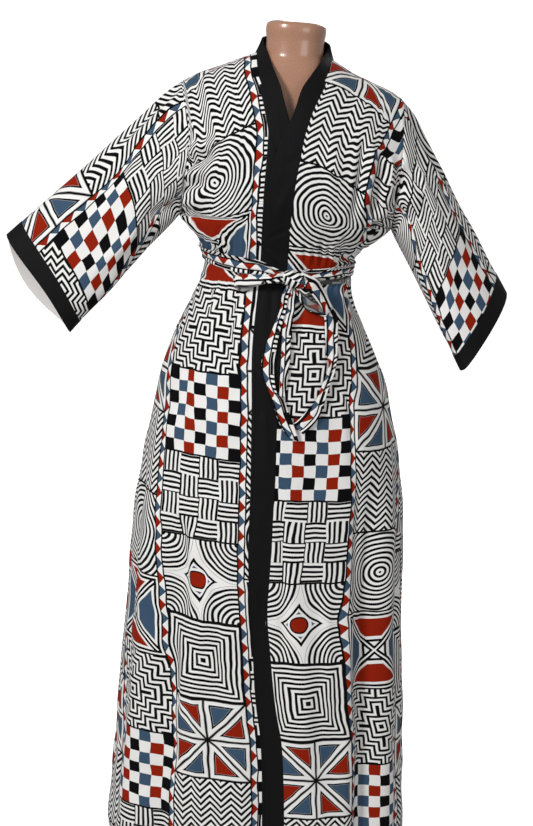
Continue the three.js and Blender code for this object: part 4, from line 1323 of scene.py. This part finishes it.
# %% Sleeves
MOUTHS = {
    "right": {"middle": (-432, -70, 1122), "top": (-61, 10, 79), "front": (5, -33, -8)},
    "left": {"middle": (367, -36, 1089), "top": (39, 58, 65), "front": (12, -30, 4)},
}
CUFF_DEPTH = {"right": 31, "left": 34}
MOUTH_REACH = {"right": (27, -7), "left": (9, -2)}
SLEEVE_ROWS = 84
CUFF_ROWS = 18
CUFF_CLOTH = 1.8
UNDER_CUFF = 5
GIRTH = 250
CUFF_LIFT = 0.35
SLEEVE_RIPPLE = 3.4
SLEEVE_CREASES = {
    "right": table(
        CREASE_COLUMNS,
        (20, 10, 70, 120, 6, 12, -6.5), (40, 0, 120, 90, 8, 11, 4.5),
        (70, 0, 150, 60, 4, 10, -4.0), (200, 0, 215, 150, -6, 13, -4.5),
        (235, 10, 240, 200, 4, 12, 3.5), (120, 60, 130, 230, -8, 18, 3.0),
        (160, 110, 150, 270, 6, 15, -3.4), (60, 130, 84, 280, 6, 15, 3.5),
        (475, 10, 430, 120, -6, 12, -6.0), (450, 0, 390, 90, -8, 11, 4.0),
        (300, 0, 290, 150, 6, 13, -4.0), (370, 60, 360, 240, 8, 18, 3.4),
        (330, 110, 345, 270, -6, 15, -3.0),
    ),
    "left": table(
        CREASE_COLUMNS,
        (20, 10, 74, 110, -6, 12, -6.5), (44, 0, 118, 84, 8, 11, 4.5),
        (76, 0, 146, 66, 4, 10, -4.2), (205, 0, 210, 140, 6, 13, -4.2),
        (232, 10, 236, 190, -4, 12, 3.2), (130, 50, 120, 230, 8, 17, 3.4),
        (168, 90, 176, 260, -6, 15, -3.2), (80, 120, 66, 260, -6, 15, 3.0),
        (475, 10, 426, 120, 6, 12, -6.0), (452, 0, 388, 90, -8, 11, 4.2),
        (296, 0, 300, 150, -6, 13, -4.0), (372, 60, 360, 230, -8, 18, 3.4),
    ),
}


def armhole_rim(side):
    """The armhole's rim as a closed loop, from the underarm up the front to the shoulder and down
    the back, with the turn that belongs to each point."""
    front = front_grid(side)[0][ARMPIT_ROW:, -1]
    back = back_grid()[0][ARMPIT_ROW:, 0 if side == "right" else -1]
    rim = np.concatenate([front, back[-2:0:-1]])
    rim[[0, len(front) - 1], 1] = 0
    up = 2 * np.arcsin(np.concatenate([[0], SHARES]))
    return rim, np.concatenate([up, (2 * np.pi - up)[-2:0:-1]])


def mouth_loop(side, turn):
    """The sleeve's mouth at these turns."""
    mouth = {name: np.array(value, float) for name, value in MOUTHS[side].items()}
    round_it = turn[:, None]
    return mouth["middle"] - mouth["top"] * np.cos(round_it) + mouth["front"] * np.sin(round_it)


def make_arm(side):
    """The sleeve and its cuff. The mouth isn't level: its far side reaches further along."""
    rim, turn = armhole_rim(side)
    mouth = mouth_loop(side, turn)
    tip = len(SHARES)
    way = np.array(MOUTHS[side]["middle"]) - (rim[0] + rim[tip]) / 2
    length = np.linalg.norm(way)
    way = way / length
    seam = 1 - CUFF_DEPTH[side] / length
    flip = 1 if side == "right" else -1

    def tube(first, last, rows, lift):
        """Rings from one share of the length to another, with creases, pushed out by the lift."""
        t = mix(first, last, edged(rows, 0.004))[:, None]
        grid = mix(rim, mouth, t[..., None])
        behind, before = MOUTH_REACH[side]
        reach = np.where(np.sin(turn) < 0, behind, before) * np.sin(turn) ** 2 * t**5
        reach = reach + 1.3 * np.sin(3 * turn + 1) * t**9
        grid = grid + way * reach[..., None]
        out = directions(grid, closed=True) * flip
        a, b = np.broadcast_arrays(turn / np.pi * GIRTH, t * length)
        calm = smooth(b / 14) * smooth((a + 4) / 14) * smooth((2 * GIRTH - a + 4) / 14)
        calm = calm * mix(1.0, 0.45, bell(a - GIRTH, 16))
        rise = (relief(SLEEVE_CREASES[side], a, b) + ripple(a, b, 17 + flip, SLEEVE_RIPPLE)) * calm
        rise = rise + tuck(b) * (first == 0)
        moved = grid + out * (CAD_WALL / 2 + lift + rise)[..., None]
        wrapped = np.concatenate([moved, moved[:, :1]], 1)
        round_run = run_length(wrapped, 1)
        across = (round_run - round_run[:, tip : tip + 1]) * -flip
        chart = np.stack(np.broadcast_arrays(across, t * length), -1)
        a, b = np.append(turn, 2 * np.pi) / np.pi * GIRTH, t * length
        shift = taken_up(SLEEVE_CREASES[side], a, b) * np.append(calm, calm[:, :1], 1)[..., None]
        return moved, chart + shift * (-flip, 1)

    grid, flat = tube(0, seam + UNDER_CUFF / length, SLEEVE_ROWS, 0.0)
    name = f"sleeve_{side}"
    mesh = grid_mesh(name, grid, flat, closed=True, outward=flip)
    add_print(name, mesh, flat, held="hung", rests_on=())
    grid, flat = tube(seam, 1, CUFF_ROWS, CUFF_LIFT)
    name = f"cuff_{side}"
    mesh = grid_mesh(name, grid, flat, closed=True, outward=flip)
    finish = (black_cloth, pale_facing)
    add_sheet(name, mesh, flat, "black_cotton", finish, CUFF_CLOTH, held="hung", rests_on=())


for side in ("right", "left"):
    make_arm(side)

# %% [markdown]
# ## The belt
#
# The belt is one long strip of the print, whose wrong side is grey, darkened with painted shade. It
# goes round the waist, is
# tied in a bow a little to the wearer's left of the middle, and both its ends hang free. Each
# stretch is a ribbon between two edges: a smooth way through a few places of each, with how much
# it is cupped or pleated there. The strip is wider than what shows, so the rest is folded behind.
# A simulated strip would have to be tied first, and two edges say at once how it lies and twists.

# %% Ribbons
BELT_CLOTH = 1.3
RIBBON_COLUMNS = 28
FOLD_ROUND = 0.9
FOLD_GAP = 2.2


def through(rows, count):
    """A smooth way through the rows of an array: a Catmull-Rom spline, whose slope at a row is
    half the step from the row before to the row after."""
    s = np.linspace(0, len(rows) - 1, count)
    i = np.minimum(s.astype(int), len(rows) - 2)
    t = (s - i)[:, None]
    slope = np.gradient(rows, axis=0)
    ends = rows[i] + smooth(t) * (rows[i + 1] - rows[i])
    return ends + slope[i] * t * (1 - t) ** 2 - slope[i + 1] * t**2 * (1 - t)


def ribbon_grid(rows, count):
    """Points of a ribbon. rows hold x y z of its one edge, x y z of the other, how far the edges
    stand behind the middle, and how deep its pleats are. The strip is wider than the way between
    the edges: what is left over is folded behind, past the first edge. Its section is a hook,
    whose share of the way is the root of the distance to the fold squared plus a small round."""
    way = through(np.array(rows, float), count)
    first, last, cup, pleat = way[:, :3], way[:, 3:6], way[:, 6], way[:, 7]
    across = last - first
    shown = np.linalg.norm(across, axis=1)
    across = across / shown[:, None]
    along = np.gradient((first + last) / 2, axis=0)
    out = np.cross(along, across)
    out = out / np.linalg.norm(out, axis=1, keepdims=True)
    spare = np.clip(BELT - shown, 0, 0.86 * shown)
    total = (shown + spare)[:, None]
    run = total * np.linspace(0, 1, RIBBON_COLUMNS + 1) - spare[:, None]
    reach = np.sqrt(run**2 + FOLD_ROUND**2) - FOLD_ROUND
    behind = (1 - smooth(run / 2.4 + 0.5)) * np.minimum(spare / 3, 1)[:, None]
    u = 2 * reach / shown[:, None] - 1
    stand = -cup[:, None] * u**2 + pleat[:, None] * np.cos(7.5 * u + 0.6) - FOLD_GAP * behind
    return first[:, None] + across[:, None] * reach[..., None] + out[:, None] * stand[..., None]


def add_ribbon(name, node, grid, start, **sheet):
    """A piece of belt over a grid, in place of a CAD node. start is how far along the strip it
    begins."""
    flat = flat_chart(grid, 0, 1)
    flat[..., 0] = np.linspace(0, BELT, grid.shape[1])
    flat[..., 1] += start - HEM
    mesh = grid_mesh(name, grid, flat, outward=-1)
    piece = add_piece(f"{name}_cloth", mesh, "print_cotton", printed["belt"], reverse["belt"])
    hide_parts(node)
    thicken(piece, BELT_CLOTH)
    length = float(run_length(grid, 0).mean(1)[-1])
    print(f"{name}: {length:.0f} mm of belt")
    return length


# %% [markdown]
# Round the waist the belt lies on the robe, so its points are the robe's own outline at each
# height, pushed out a little. A path could be laid round the body and swept, but then the belt
# would cut into the folds or float over them. At the wearer's left a lower fold of it shows too.

# %% Round the waist
KNOT_AT = np.array([22.0, -133.0, 1168.5])
WRAP_STEPS = 340
IN_KNOT = 3.5
PLEAT_FADE = 34
BELT_CLEAR = 4.4
BELT_PATH = table(
    "angle z share",
    (-180, 1183, 0.96), (-110, 1190, 0.88), (-78, 1191.5, 0.80), (-48, 1188, 0.94),
    (-31, 1185, 1.0), (-13, 1183, 0.95), (-5, 1179, 0.72), (1, 1174.5, 0.50), (8, 1168, 0.42),
    (13, 1171, 0.60), (18, 1174, 0.72), (32, 1176, 0.74), (58, 1180, 0.76), (90, 1180, 0.82),
    (180, 1183, 0.96),
)
STRAND_TURNS = (9.5, 84)
STRAND_STEPS = 90
STRAND_LOW = 1157.5
STRAND_START = 300


def belt_points(turned, u, z, over):
    """Points of the belt round the waist: on the robe's outline at each height, pushed out of it
    by over. Over the lap it keeps clear of both fronts."""
    angle = (turned + 180) % 360 - 180
    face = np.where(np.abs(angle) > 90, 1, -1)
    x = x_at(np.where(face < 0, angle, np.sign(angle) * (180 - np.abs(angle))), z)
    depth = np.where(face < 0, depth_of["front"](z), depth_of["back"](z))
    depth = depth * rounded_off(share_across(x, z))
    over = over + OVERLAP * smooth((angle + 36) / 8) * smooth((40 - angle) / 30)
    turn = np.radians(angle)
    return np.stack([x + over * np.sin(turn), face * depth - over * np.cos(turn), z], -1)


def make_wrap():
    """The stretch round the waist, from the knot round the wearer's right, the back and the left
    and into the knot again. Near the knot it narrows and its pleats deepen. Its upper edge rolls
    outwards."""
    path, share = curve(BELT_PATH, "angle", "z"), curve(BELT_PATH, "angle", "share")
    centre = float(angle_at(KNOT_AT[0], KNOT_AT[2]))
    turned = np.linspace(centre - IN_KNOT, centre - 360 + IN_KNOT, WRAP_STEPS)[:, None]
    angle = (turned + 180) % 360 - 180
    since, until = centre - turned, turned - centre + 360
    near = np.exp(-since / PLEAT_FADE) * 0.9 + np.exp(-until / PLEAT_FADE)
    u = np.linspace(-1, 1, RIBBON_COLUMNS + 1)
    z = path(angle) + BELT / 2 * u * share(angle)
    over = BELT_CLEAR + 2.0 * near + 1.3 * smooth((u - 0.55) / 0.45) - 1.2 * smooth((-u - 0.7) / 0.3)
    over = over + 0.9 * np.sin(turned / 9 + 1.5 * u) * (1 - u**2)
    over = over + (0.55 + 1.9 * near**1.3) * np.cos(6.5 * u + 1.2 + turned / 30)
    grid = belt_points(turned, u, z, over)[:, ::-1]
    return add_ribbon(
        "belt_wrap", "belt_wrap", grid, 0, held="stretched", rests_on=["front_left_cloth"]
    )


def make_strand():
    """The lower fold of the belt at the wearer's left. It shows the wrong side, comes from under
    the knot and slips up behind the belt at the side."""
    turned = np.linspace(*STRAND_TURNS, STRAND_STEPS)[:, None]
    u = np.linspace(-1, 1, RIBBON_COLUMNS + 1)
    rise = 9 * smooth((turned - 56) / 26)
    tall = mix(6.5, 12.5, smooth((turned - 11) / 12))
    z = STRAND_LOW + 0.03 * turned + rise + tall * (1 + u)
    over = 2.5 + 0.8 * np.cos(4 * u + turned / 14) - 0.9 * u**2
    grid = belt_points(turned, u, z, over)[:, ::-1]
    return add_ribbon(
        "belt_strand", "belt_wrap", grid, STRAND_START,
        held="stretched", rests_on=["belt_wrap_cloth"],
    )


belt_length = make_wrap() + make_strand()

# %% [markdown]
# Two loops stand out from the knot, and the two ends hang down, one of them doubled. Each row
# holds a place on both edges of the strip, how far it is cupped and how deep its pleats are, so
# the ribbon can turn over and show its wrong side, as real loops do.

# %% The bow
BOW_STEPS = 100
RIBBON_ROWS = {
    "belt_loop_right": (
        (10, -133, 1178, 10, -134, 1160, 1, 1.6), (-3, -138, 1178, -2, -139.5, 1164, 1.5, 1.4),
        (-22, -138, 1175, -20, -140, 1160, 2, 1.6), (-44, -134, 1173, -41, -136.5, 1156, 2, 1.7),
        (-64, -127, 1171, -60, -130, 1152, 1.5, 1.7), (-79, -119, 1169, -76, -122, 1150, 0.5, 1.3),
        (-86, -112, 1164, -82, -115, 1146, 0, 0.6), (-80, -107.5, 1158, -75, -110.5, 1139, 0, 0.4),
        (-63, -112, 1159, -61, -115.5, 1140, 0, 0.5), (-49, -116, 1166, -47, -120, 1150, 0, 0.7),
        (-22, -121, 1171, -21, -124.5, 1158, 0.5, 0.9), (2, -125, 1172, 2, -127, 1159, 1, 1.2),
        (10, -126, 1170, 10, -127, 1160, 1, 1.6),
    ),
    "belt_loop_left": (
        (18, -134, 1160, 18, -133, 1176, 1, 1.6), (31, -139, 1152, 33, -137, 1182, 1.5, 1.4),
        (40, -139.5, 1146, 47, -137, 1178, 2, 1.2), (49, -137, 1148, 60, -134, 1172, 2.5, 1.0),
        (60, -133, 1138, 69, -128, 1161, 2.5, 0.8), (69, -127, 1127, 77, -121, 1148, 1.5, 0.5),
        (78, -120, 1112, 88, -114, 1128, 0.5, 0.3), (84, -114, 1108, 90, -108, 1124, 0, 0.2),
        (77, -113, 1105, 86, -106, 1124, 0, 0.3), (60, -119, 1111, 70, -110, 1133, 0.5, 0.5),
        (43, -123, 1117, 56, -116, 1140, 0.5, 0.8), (29, -125.5, 1138, 38, -120, 1154, 1, 1.2),
        (20, -127, 1158, 20, -125, 1168, 1, 1.6),
    ),
    "belt_tail_right": (
        (11, -125, 1162, 21, -125, 1162, 1, 1.0), (2, -129, 1141, 13, -129, 1142, 1.2, 0.9),
        (-1, -134, 1114, 10, -135, 1115, 1.5, 0.7), (-10, -140, 1086, 4, -141, 1087, 2, 0.5),
        (-17, -144, 1065, 0, -144.5, 1066, 2, 0.5), (-23, -147, 1044, -2, -148, 1046, 2, 0.4),
        (-26, -151.5, 1015, -4, -152.5, 1017, 1, 0.4), (-14, -157, 984, 3, -160, 976, -0.5, 0.5),
        (-3, -161.5, 958, 17, -161.5, 961, 1, 0.5), (9, -162, 925, 32, -161.5, 930, 1.5, 0.5),
        (20, -162, 906, 42, -162, 907, 0.5, 0.3), (30, -162, 895, 49, -162, 888, 0, 0.2),
    ),
    "belt_tail_left": (
        (26, -119, 1160, 34, -119, 1166, 1, 1.0), (44, -115.5, 1140, 54, -115, 1150, 1, 0.9),
        (62, -113, 1122, 78, -109, 1131, 1, 0.7), (77, -113, 1106, 100, -103, 1108, 0.5, 0.4),
        (82, -121, 1076, 104, -112, 1077, 0.8, 0.3), (86, -130, 1046, 106, -122, 1045, 1, 0.5),
        (91, -135, 1029, 105, -129, 1030, 1, 0.8), (90, -138.5, 1011, 103, -134, 1010, 1, 0.7),
        (81, -146.5, 983, 94, -143, 982, 1, 0.5), (74, -151, 962, 89, -147.5, 958, 1.5, 0.4),
        (60, -155, 944, 81, -152.5, 932, 1.5, 0.3), (44, -158.5, 925, 65, -156.5, 910, 0.5, 0.3),
        (36, -160, 919, 55, -159, 901, 0, 0.2),
    ),
}
FOLDED_ROWS = (
    (15, -123, 1160, 27, -123, 1161, 0.6, 0.4), (15, -125, 1146, 27, -125, 1147, 0.8, 0.4),
    (6, -131, 1114, 25, -131, 1115, 1, 0.3), (6, -139, 1074, 22, -139, 1075, 1, 0.3),
    (8, -147, 1033, 23, -147, 1034, 1.2, 0.3), (8, -153.5, 992, 21, -153.5, 993, 1, 0.3),
    (9, -156.5, 964, 19, -156.5, 966, 0.5, 0.3),
)
for name, rows in RIBBON_ROWS.items():
    grid = ribbon_grid(rows, BOW_STEPS)
    belt_length += add_ribbon(name, name, grid, belt_length, held="hung", rests_on=["belt_knot_cloth"])
belt_length += add_ribbon(
    "belt_tail_folded", "belt_tail_right", ribbon_grid(FOLDED_ROWS, BOW_STEPS), belt_length,
    held="hung", rests_on=["belt_knot_cloth"],
)
print(f"The belt shows {belt_length:.0f} mm of its length, and the knot takes up some more")

# %% [markdown]
# The knot is where one turn of the strip wraps the others. It is a short barrel whose axis runs
# across the bow and down to the wearer's left: its radius swells between its ends and has ridges
# where the strip is pleated. It could be one more ribbon wound round, but only its ridges show.

# %% The knot
KNOT_ROWS = 64
KNOT_SIDES = 72
KNOT_HALF = 24
KNOT_DEEP, KNOT_TALL = 13.5, 15.5
KNOT_TILT = math.radians(-22)


def make_knot():
    """A barrel in turns and shares of its length: radius is a superellipse of the share, times
    one plus ridges whose phase drifts round the barrel so that no two look alike."""
    s = np.linspace(-1, 1, KNOT_ROWS + 1)[:, None]
    turn = np.linspace(0, 2 * np.pi, KNOT_SIDES, endpoint=False)
    swell = np.maximum(1 - np.abs(s) ** 2.6, 0) ** 0.5
    ridges = 0.085 * np.cos(13 * s + 0.9 * np.sin(turn) + 0.5) + 0.045 * np.cos(24 * s - 1.4 * turn)
    lumps = 0.07 * np.sin(2 * turn + 1.1) + 0.05 * np.sin(3 * turn + 2 * s)
    radius = swell * (1 + ridges * (1 - s**4) + lumps)
    length = KNOT_HALF * s + 1.5 * np.sin(turn) * swell
    deep, tall = -KNOT_DEEP * radius * np.cos(turn), KNOT_TALL * radius * np.sin(turn)
    local = np.stack([length, deep, tall], -1)
    c, d = math.cos(KNOT_TILT), math.sin(KNOT_TILT)
    spin = np.array([[c, 0, -d], [0, 1, 0], [d, 0, c]])
    grid = local @ spin.T + KNOT_AT
    around = np.append(turn, 2 * np.pi) * 13
    flat = np.stack(np.broadcast_arrays(s * KNOT_HALF, around), -1)
    mesh = close_up(grid_mesh("belt_knot", grid, flat, closed=True))
    piece = add_piece("belt_knot_cloth", mesh, "print_cotton", printed["belt"])
    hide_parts("belt_knot")
    print("Knot:", np.round(np.ptp(grid.reshape(-1, 3), axis=0), 1), "mm")


make_knot()

# %% [markdown]
# ## Dress form and stand
#
# The robe hangs on a limbless dress form of moulded plastic, on a pole with a round weighted
# base. Only its neck shows above the bands. It could be sculpted, but its plain shape is a loft:
# at each height a superellipse, deeper in front than behind, up to a low rounded cap. Its skin
# has a thin gloss, and the metal is powder coated, so both use one finish with other values.

# %% Plastic and metal


def speckled(name, roughness, colour, grain, depth, metallic=0.0, coat=0.0):
    """A smooth finish with a fine skin: noise tints the colour by a few hundredths, moves the
    roughness a little and is the height of a very low bump."""
    material, shader = new_material(name, roughness)
    links = material.node_tree.links
    shader.inputs["Metallic"].default_value = metallic
    shader.inputs["Coat Weight"].default_value = coat
    shader.inputs["Coat Roughness"].default_value = 0.12
    at = place(material, "ShaderNodeTexCoord", -1100, 0)
    noise = place(material, "ShaderNodeTexNoise", -900, 0)
    noise.inputs["Scale"].default_value = grain
    noise.inputs["Detail"].default_value = 3.0
    broad = place(material, "ShaderNodeTexNoise", -900, -300)
    broad.inputs["Scale"].default_value = 7.0
    broad.inputs["Detail"].default_value = 2.0
    links.new(at.outputs["Object"], noise.inputs["Vector"])
    links.new(at.outputs["Object"], broad.inputs["Vector"])
    tint = place(material, "ShaderNodeValToRGB", -600, 100)
    tint.color_ramp.elements[0].position = 0.3
    tint.color_ramp.elements[1].position = 0.7
    tint.color_ramp.elements[0].color = (*(0.94 * c for c in colour), 1.0)
    tint.color_ramp.elements[1].color = (*(1.04 * c for c in colour), 1.0)
    links.new(broad.outputs[0], tint.inputs[0])
    links.new(tint.outputs[0], shader.inputs["Base Color"])
    rough = place(material, "ShaderNodeMapRange", -600, -200)
    rough.inputs["To Min"].default_value = roughness - 0.05
    rough.inputs["To Max"].default_value = roughness + 0.07
    links.new(noise.outputs[0], rough.inputs["Value"])
    links.new(rough.outputs[0], shader.inputs["Roughness"])
    bump = place(material, "ShaderNodeBump", -300, -300)
    bump.inputs["Distance"].default_value = depth
    links.new(noise.outputs[0], bump.inputs["Height"])
    links.new(bump.outputs[0], shader.inputs["Normal"])
    return material


SKIN = (0.40, 0.205, 0.130)
POWDER_COAT = (0.52, 0.53, 0.54)
plastic = speckled("moulded_plastic", 0.26, SKIN, 260.0, 0.00012, coat=0.35)
coated_metal = speckled("powder_coat", 0.42, POWDER_COAT, 1500.0, 0.00008, metallic=0.25)

# %% The dress form
FORM = table(
    "z middle half front back",
    (856, -4, 158, 118, 114), (866, -4, 165, 125, 121), (930, -4, 169, 128, 124),
    (1000, -6, 160, 122, 116), (1060, -9, 143, 113, 103), (1110, -10, 126, 101, 88),
    (1165, -10, 116, 91, 78), (1205, -9, 121, 95, 80), (1250, -8, 143, 104, 86),
    (1300, -7, 163, 114, 92), (1340, -7, 171, 117, 95), (1400, -7, 176, 103, 96),
    (1445, -7, 176, 89, 92), (1472, -7, 169, 78, 79), (1490, -7, 153, 72, 70),
    (1505, -8, 122, 66, 62), (1518, -8, 89, 62, 56), (1531, -8, 63, 57, 51),
    (1548, -7, 51, 51, 48), (1570, -7, 51, 50, 48), (1590, -7, 53, 52, 50),
    (1598, -7, 52, 51, 48), (1603, -7, 46, 45, 42), (1606, -7, 31, 30, 28),
)
FORM_ROUND = 2.3
FORM_SIDES = 144
FORM_ROWS = 260
CAP_FROM = 1590
CAP_RISE = 16
CAP_STEPS = 24


def make_form():
    """Rings from the flat lower end to the cap, each a superellipse, with ends that close in."""
    bend = np.linspace(0, np.pi / 2, CAP_STEPS)[1:]
    cap = CAP_FROM + CAP_RISE * np.sin(bend)
    z = np.concatenate([np.linspace(FORM["z"][0], CAP_FROM, FORM_ROWS), cap])
    inner = np.array([0.0, 0.5, 0.9, 0.97])
    share = np.concatenate([inner, np.ones(len(z)), [0.8, 0.5, 0.25, 0]])[:, None]
    z = np.concatenate([np.full(len(inner), z[0]), z, [1606.5, 1606.9, 1607.1, 1607.2]])[:, None]
    turn = np.linspace(0, 2 * np.pi, FORM_SIDES, endpoint=False)

    def bent(v):
        return np.sign(v) * np.abs(v) ** (2 / FORM_ROUND)

    part = {name: curve(FORM, "z", name)(z) for name in ("middle", "half", "front", "back")}
    depth = np.where(np.cos(turn) > 0, part["front"], part["back"])
    grid = np.stack(np.broadcast_arrays(
        part["middle"] + part["half"] * bent(np.sin(turn)) * share,
        -depth * bent(np.cos(turn)) * share,
        z,
    ), -1)
    flat = np.zeros((len(z), FORM_SIDES + 1, 2))
    mesh = close_up(grid_mesh("form_body", grid, flat, closed=True))
    piece = add_piece("dress_form", mesh, "form_plastic", plastic)
    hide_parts("form_body")
    print("Form:", len(mesh.polygons), "faces")


make_form()

# %% [markdown]
# Pole and base are turned parts. Stacked cylinders would have sharp rims that catch no light, so
# each is a profile with bent corners, carried round the axis.

# %% Pole and base
TURNED_SIDES = 128
FLOOR_GAP = 0.3
BASE_TOP = 16
POLE_RADIUS = 16
BASE_RADIUS = 170


def rounded(profile, radius, steps=6):
    """A profile whose inner corners are replaced by quarter bends: each a quadratic curve that
    leaves the corner's two sides at the radius."""
    points = [np.array(p, float) for p in profile]
    smoothed = [points[0]]
    t = np.linspace(0, 1, steps + 1)[:, None]
    for before, corner, after in zip(points, points[1:], points[2:]):
        leave, reach = before - corner, after - corner
        near = min(radius, np.linalg.norm(leave) / 2.01, np.linalg.norm(reach) / 2.01)
        a = corner + leave / np.linalg.norm(leave) * near
        b = corner + reach / np.linalg.norm(reach) * near
        smoothed.extend((1 - t) ** 2 * a + 2 * t * (1 - t) * corner + t**2 * b)
    smoothed.append(points[-1])
    return np.array(smoothed)


def turned(name, node, profile):
    """A shape turned from a profile of radius and height round the stand's axis."""
    turn = np.linspace(0, 2 * np.pi, TURNED_SIDES, endpoint=False)
    radius, height = profile[:, :1], profile[:, 1:]
    grid = np.stack(
        np.broadcast_arrays(radius * np.cos(turn), radius * np.sin(turn), height), -1
    )
    flat = np.zeros((len(profile), TURNED_SIDES + 1, 2))
    mesh = close_up(grid_mesh(name, grid, flat, closed=True))
    piece = add_piece(name, mesh, "stand_metal", coated_metal)
    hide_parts(node)


POLE_TOP = FORM["z"][0] - FLOOR_GAP
turned("stand_pole", "form_pole", rounded(
    [(0, BASE_TOP + FLOOR_GAP), (POLE_RADIUS, BASE_TOP + FLOOR_GAP), (POLE_RADIUS, POLE_TOP),
     (0, POLE_TOP)], 0.8,
))
turned("stand_base", "form_base", rounded(
    [(0, 0), (BASE_RADIUS, 0), (BASE_RADIUS, 6), (BASE_RADIUS - 8, 10), (40, BASE_TOP), (0, BASE_TOP)],
    2.5,
))
print("Stand:", 2 * BASE_RADIUS, "mm across")

# %% [markdown]
# ## Stitches
#
# The hem is turned up and held by a line of machine stitches. A bump could hint at them, but real
# bars keep their shadow close up. Each stitch is a tiny flattened bar, and each line of them is
# one mesh, made from arrays: a bar's eight corners are placed at every step along the seam, in
# the directions along it, across it and out of the cloth.

# %% Stitches of the hem
STITCH_PITCH = 3.6
STITCH_SIZE = (2.6, 0.45, 0.35)


def stitch_mesh(name, points, out):
    """Bars along a line of points, which are millimetres, with the cloth's outward directions."""
    run = np.concatenate([[0], np.cumsum(np.linalg.norm(np.diff(points, axis=0), axis=1))])
    at = np.arange(STITCH_PITCH / 2, run[-1], STITCH_PITCH)
    centre = np.stack([np.interp(at, run, points[:, k]) for k in range(3)], -1)
    up = np.stack([np.interp(at, run, out[:, k]) for k in range(3)], -1)
    along = np.gradient(centre, axis=0)
    along = along / np.linalg.norm(along, axis=1, keepdims=True)
    side_way = np.cross(up, along)
    signs = np.array([(a, b, c) for c in (-1, 1) for b in (-1, 1) for a in (-1, 1)], float)
    signs = signs * np.array(STITCH_SIZE) / 2
    taper = np.where(signs[:, 2:] > 0, 0.72, 1.0)
    corners = (
        centre[:, None]
        + along[:, None] * signs[:, :1] * taper
        + side_way[:, None] * signs[:, 1:2] * taper
        + up[:, None] * signs[:, 2:]
    )
    box = np.array([(0, 2, 3, 1), (4, 5, 7, 6), (0, 1, 5, 4), (2, 6, 7, 3), (0, 4, 6, 2), (1, 3, 7, 5)])
    faces = (box + 8 * np.arange(len(centre))[:, None, None]).reshape(-1, 4)
    mesh = bpy.data.meshes.new(name)
    mesh.from_pydata((corners.reshape(-1, 3) * MM).tolist(), [], faces.tolist())
    return close_up(mesh)


def make_stitches():
    """Stitches along the hem of the fronts and the back."""
    row = int(np.argmin(np.abs(LOW_ROWS - HEM - HEM_TURN + 3)))
    thread, shader = new_material("sewing_thread", 0.6, 0.0, 0.2)
    shader.inputs["Base Color"].default_value = (0.62, 0.60, 0.57, 1.0)
    lines = {f"hem_stitches_{side}": fronts[side] for side in fronts}
    lines["hem_stitches_back"] = (back_surface, back_out)
    for name, (surface, out) in lines.items():
        lifted = surface[row] + out[row] * (CLOTH / 2 + STITCH_SIZE[2] / 3)
        piece = add_piece(name, stitch_mesh(name, lifted[4:-4], out[row][4:-4]), "print_cotton", thread)
        print(name, len(piece.data.polygons) // 6, "stitches")


make_stitches()

# %% [markdown]
# ## Light and floor
#
# The stage is a plain pale floor that curves up into a wall far away, all round. It glows a
# little, so it looks clean. It doesn't light the robe. That is done by an even pale surround,
# which fills the shadows, by two soft lamps in front, which bring out the folds, and by one
# behind. A picture of a studio could light it too, but lamps are easier to move.

# %% Stage
SURROUND = 0.36
FLOOR_GLOW = 0.80
LAMPS = (
    {"name": "key", "at": (-2.9, -3.7, 3.5), "size": 1.0, "power": 196},
    {"name": "fill", "at": (2.2, -4.2, 2.0), "size": 2.0, "power": 36},
    {"name": "rim", "at": (0.8, 3.6, 3.0), "size": 2.0, "power": 60},
)


def make_floor():
    """A level disc, a quarter bend and a wall, turned round the stand's axis in metres."""
    bend = np.linspace(0, np.pi / 2, 17)[:, None]
    rim = np.concatenate([12 + 2 * np.sin(bend), 2 - 2 * np.cos(bend)], 1)
    profile = np.concatenate([[(0.0, 0.0), (6.0, 0.0)], rim, [(14.0, 10.0)]])
    turn = np.linspace(0, 2 * np.pi, 97)
    grid = np.stack(np.broadcast_arrays(
        profile[:, :1] * np.cos(turn), profile[:, :1] * np.sin(turn), profile[:, 1:]
    ), -1)
    mesh = close_up(grid_mesh("floor", grid / MM, np.zeros((*grid.shape[:2], 2))))
    floor = bpy.data.objects.new("floor", mesh)
    bpy.context.collection.objects.link(floor)
    material, shader = new_material("pale_floor", 0.9, 0.0, 0.1)
    shader.inputs["Base Color"].default_value = (0.93, 0.93, 0.93, 1)
    shader.inputs["Emission Color"].default_value = (1, 1, 1, 1)
    shader.inputs["Emission Strength"].default_value = FLOOR_GLOW
    mesh.materials.append(material)
    floor.visible_diffuse = False
    floor.visible_glossy = False
    floor.visible_shadow = False


def make_light():
    """The pale surround, and soft lamps that look at the robe's middle."""
    world = bpy.data.worlds.new("studio")
    world.use_nodes = True
    world.node_tree.nodes["Background"].inputs["Color"].default_value = (1, 1, 1, 1)
    world.node_tree.nodes["Background"].inputs["Strength"].default_value = SURROUND
    bpy.context.scene.world = world
    for lamp in LAMPS:
        data = bpy.data.lights.new(lamp["name"], "AREA")
        data.energy = lamp["power"]
        data.size = lamp["size"]
        holder = bpy.data.objects.new(lamp["name"], data)
        bpy.context.collection.objects.link(holder)
        toward = Vector((0, 0, 1.0)) - Vector(lamp["at"])
        holder.rotation_euler = toward.to_track_quat("-Z", "Y").to_euler()
        holder.location = lamp["at"]
    bpy.context.scene.view_settings.view_transform = "Standard"


make_floor()
make_light()
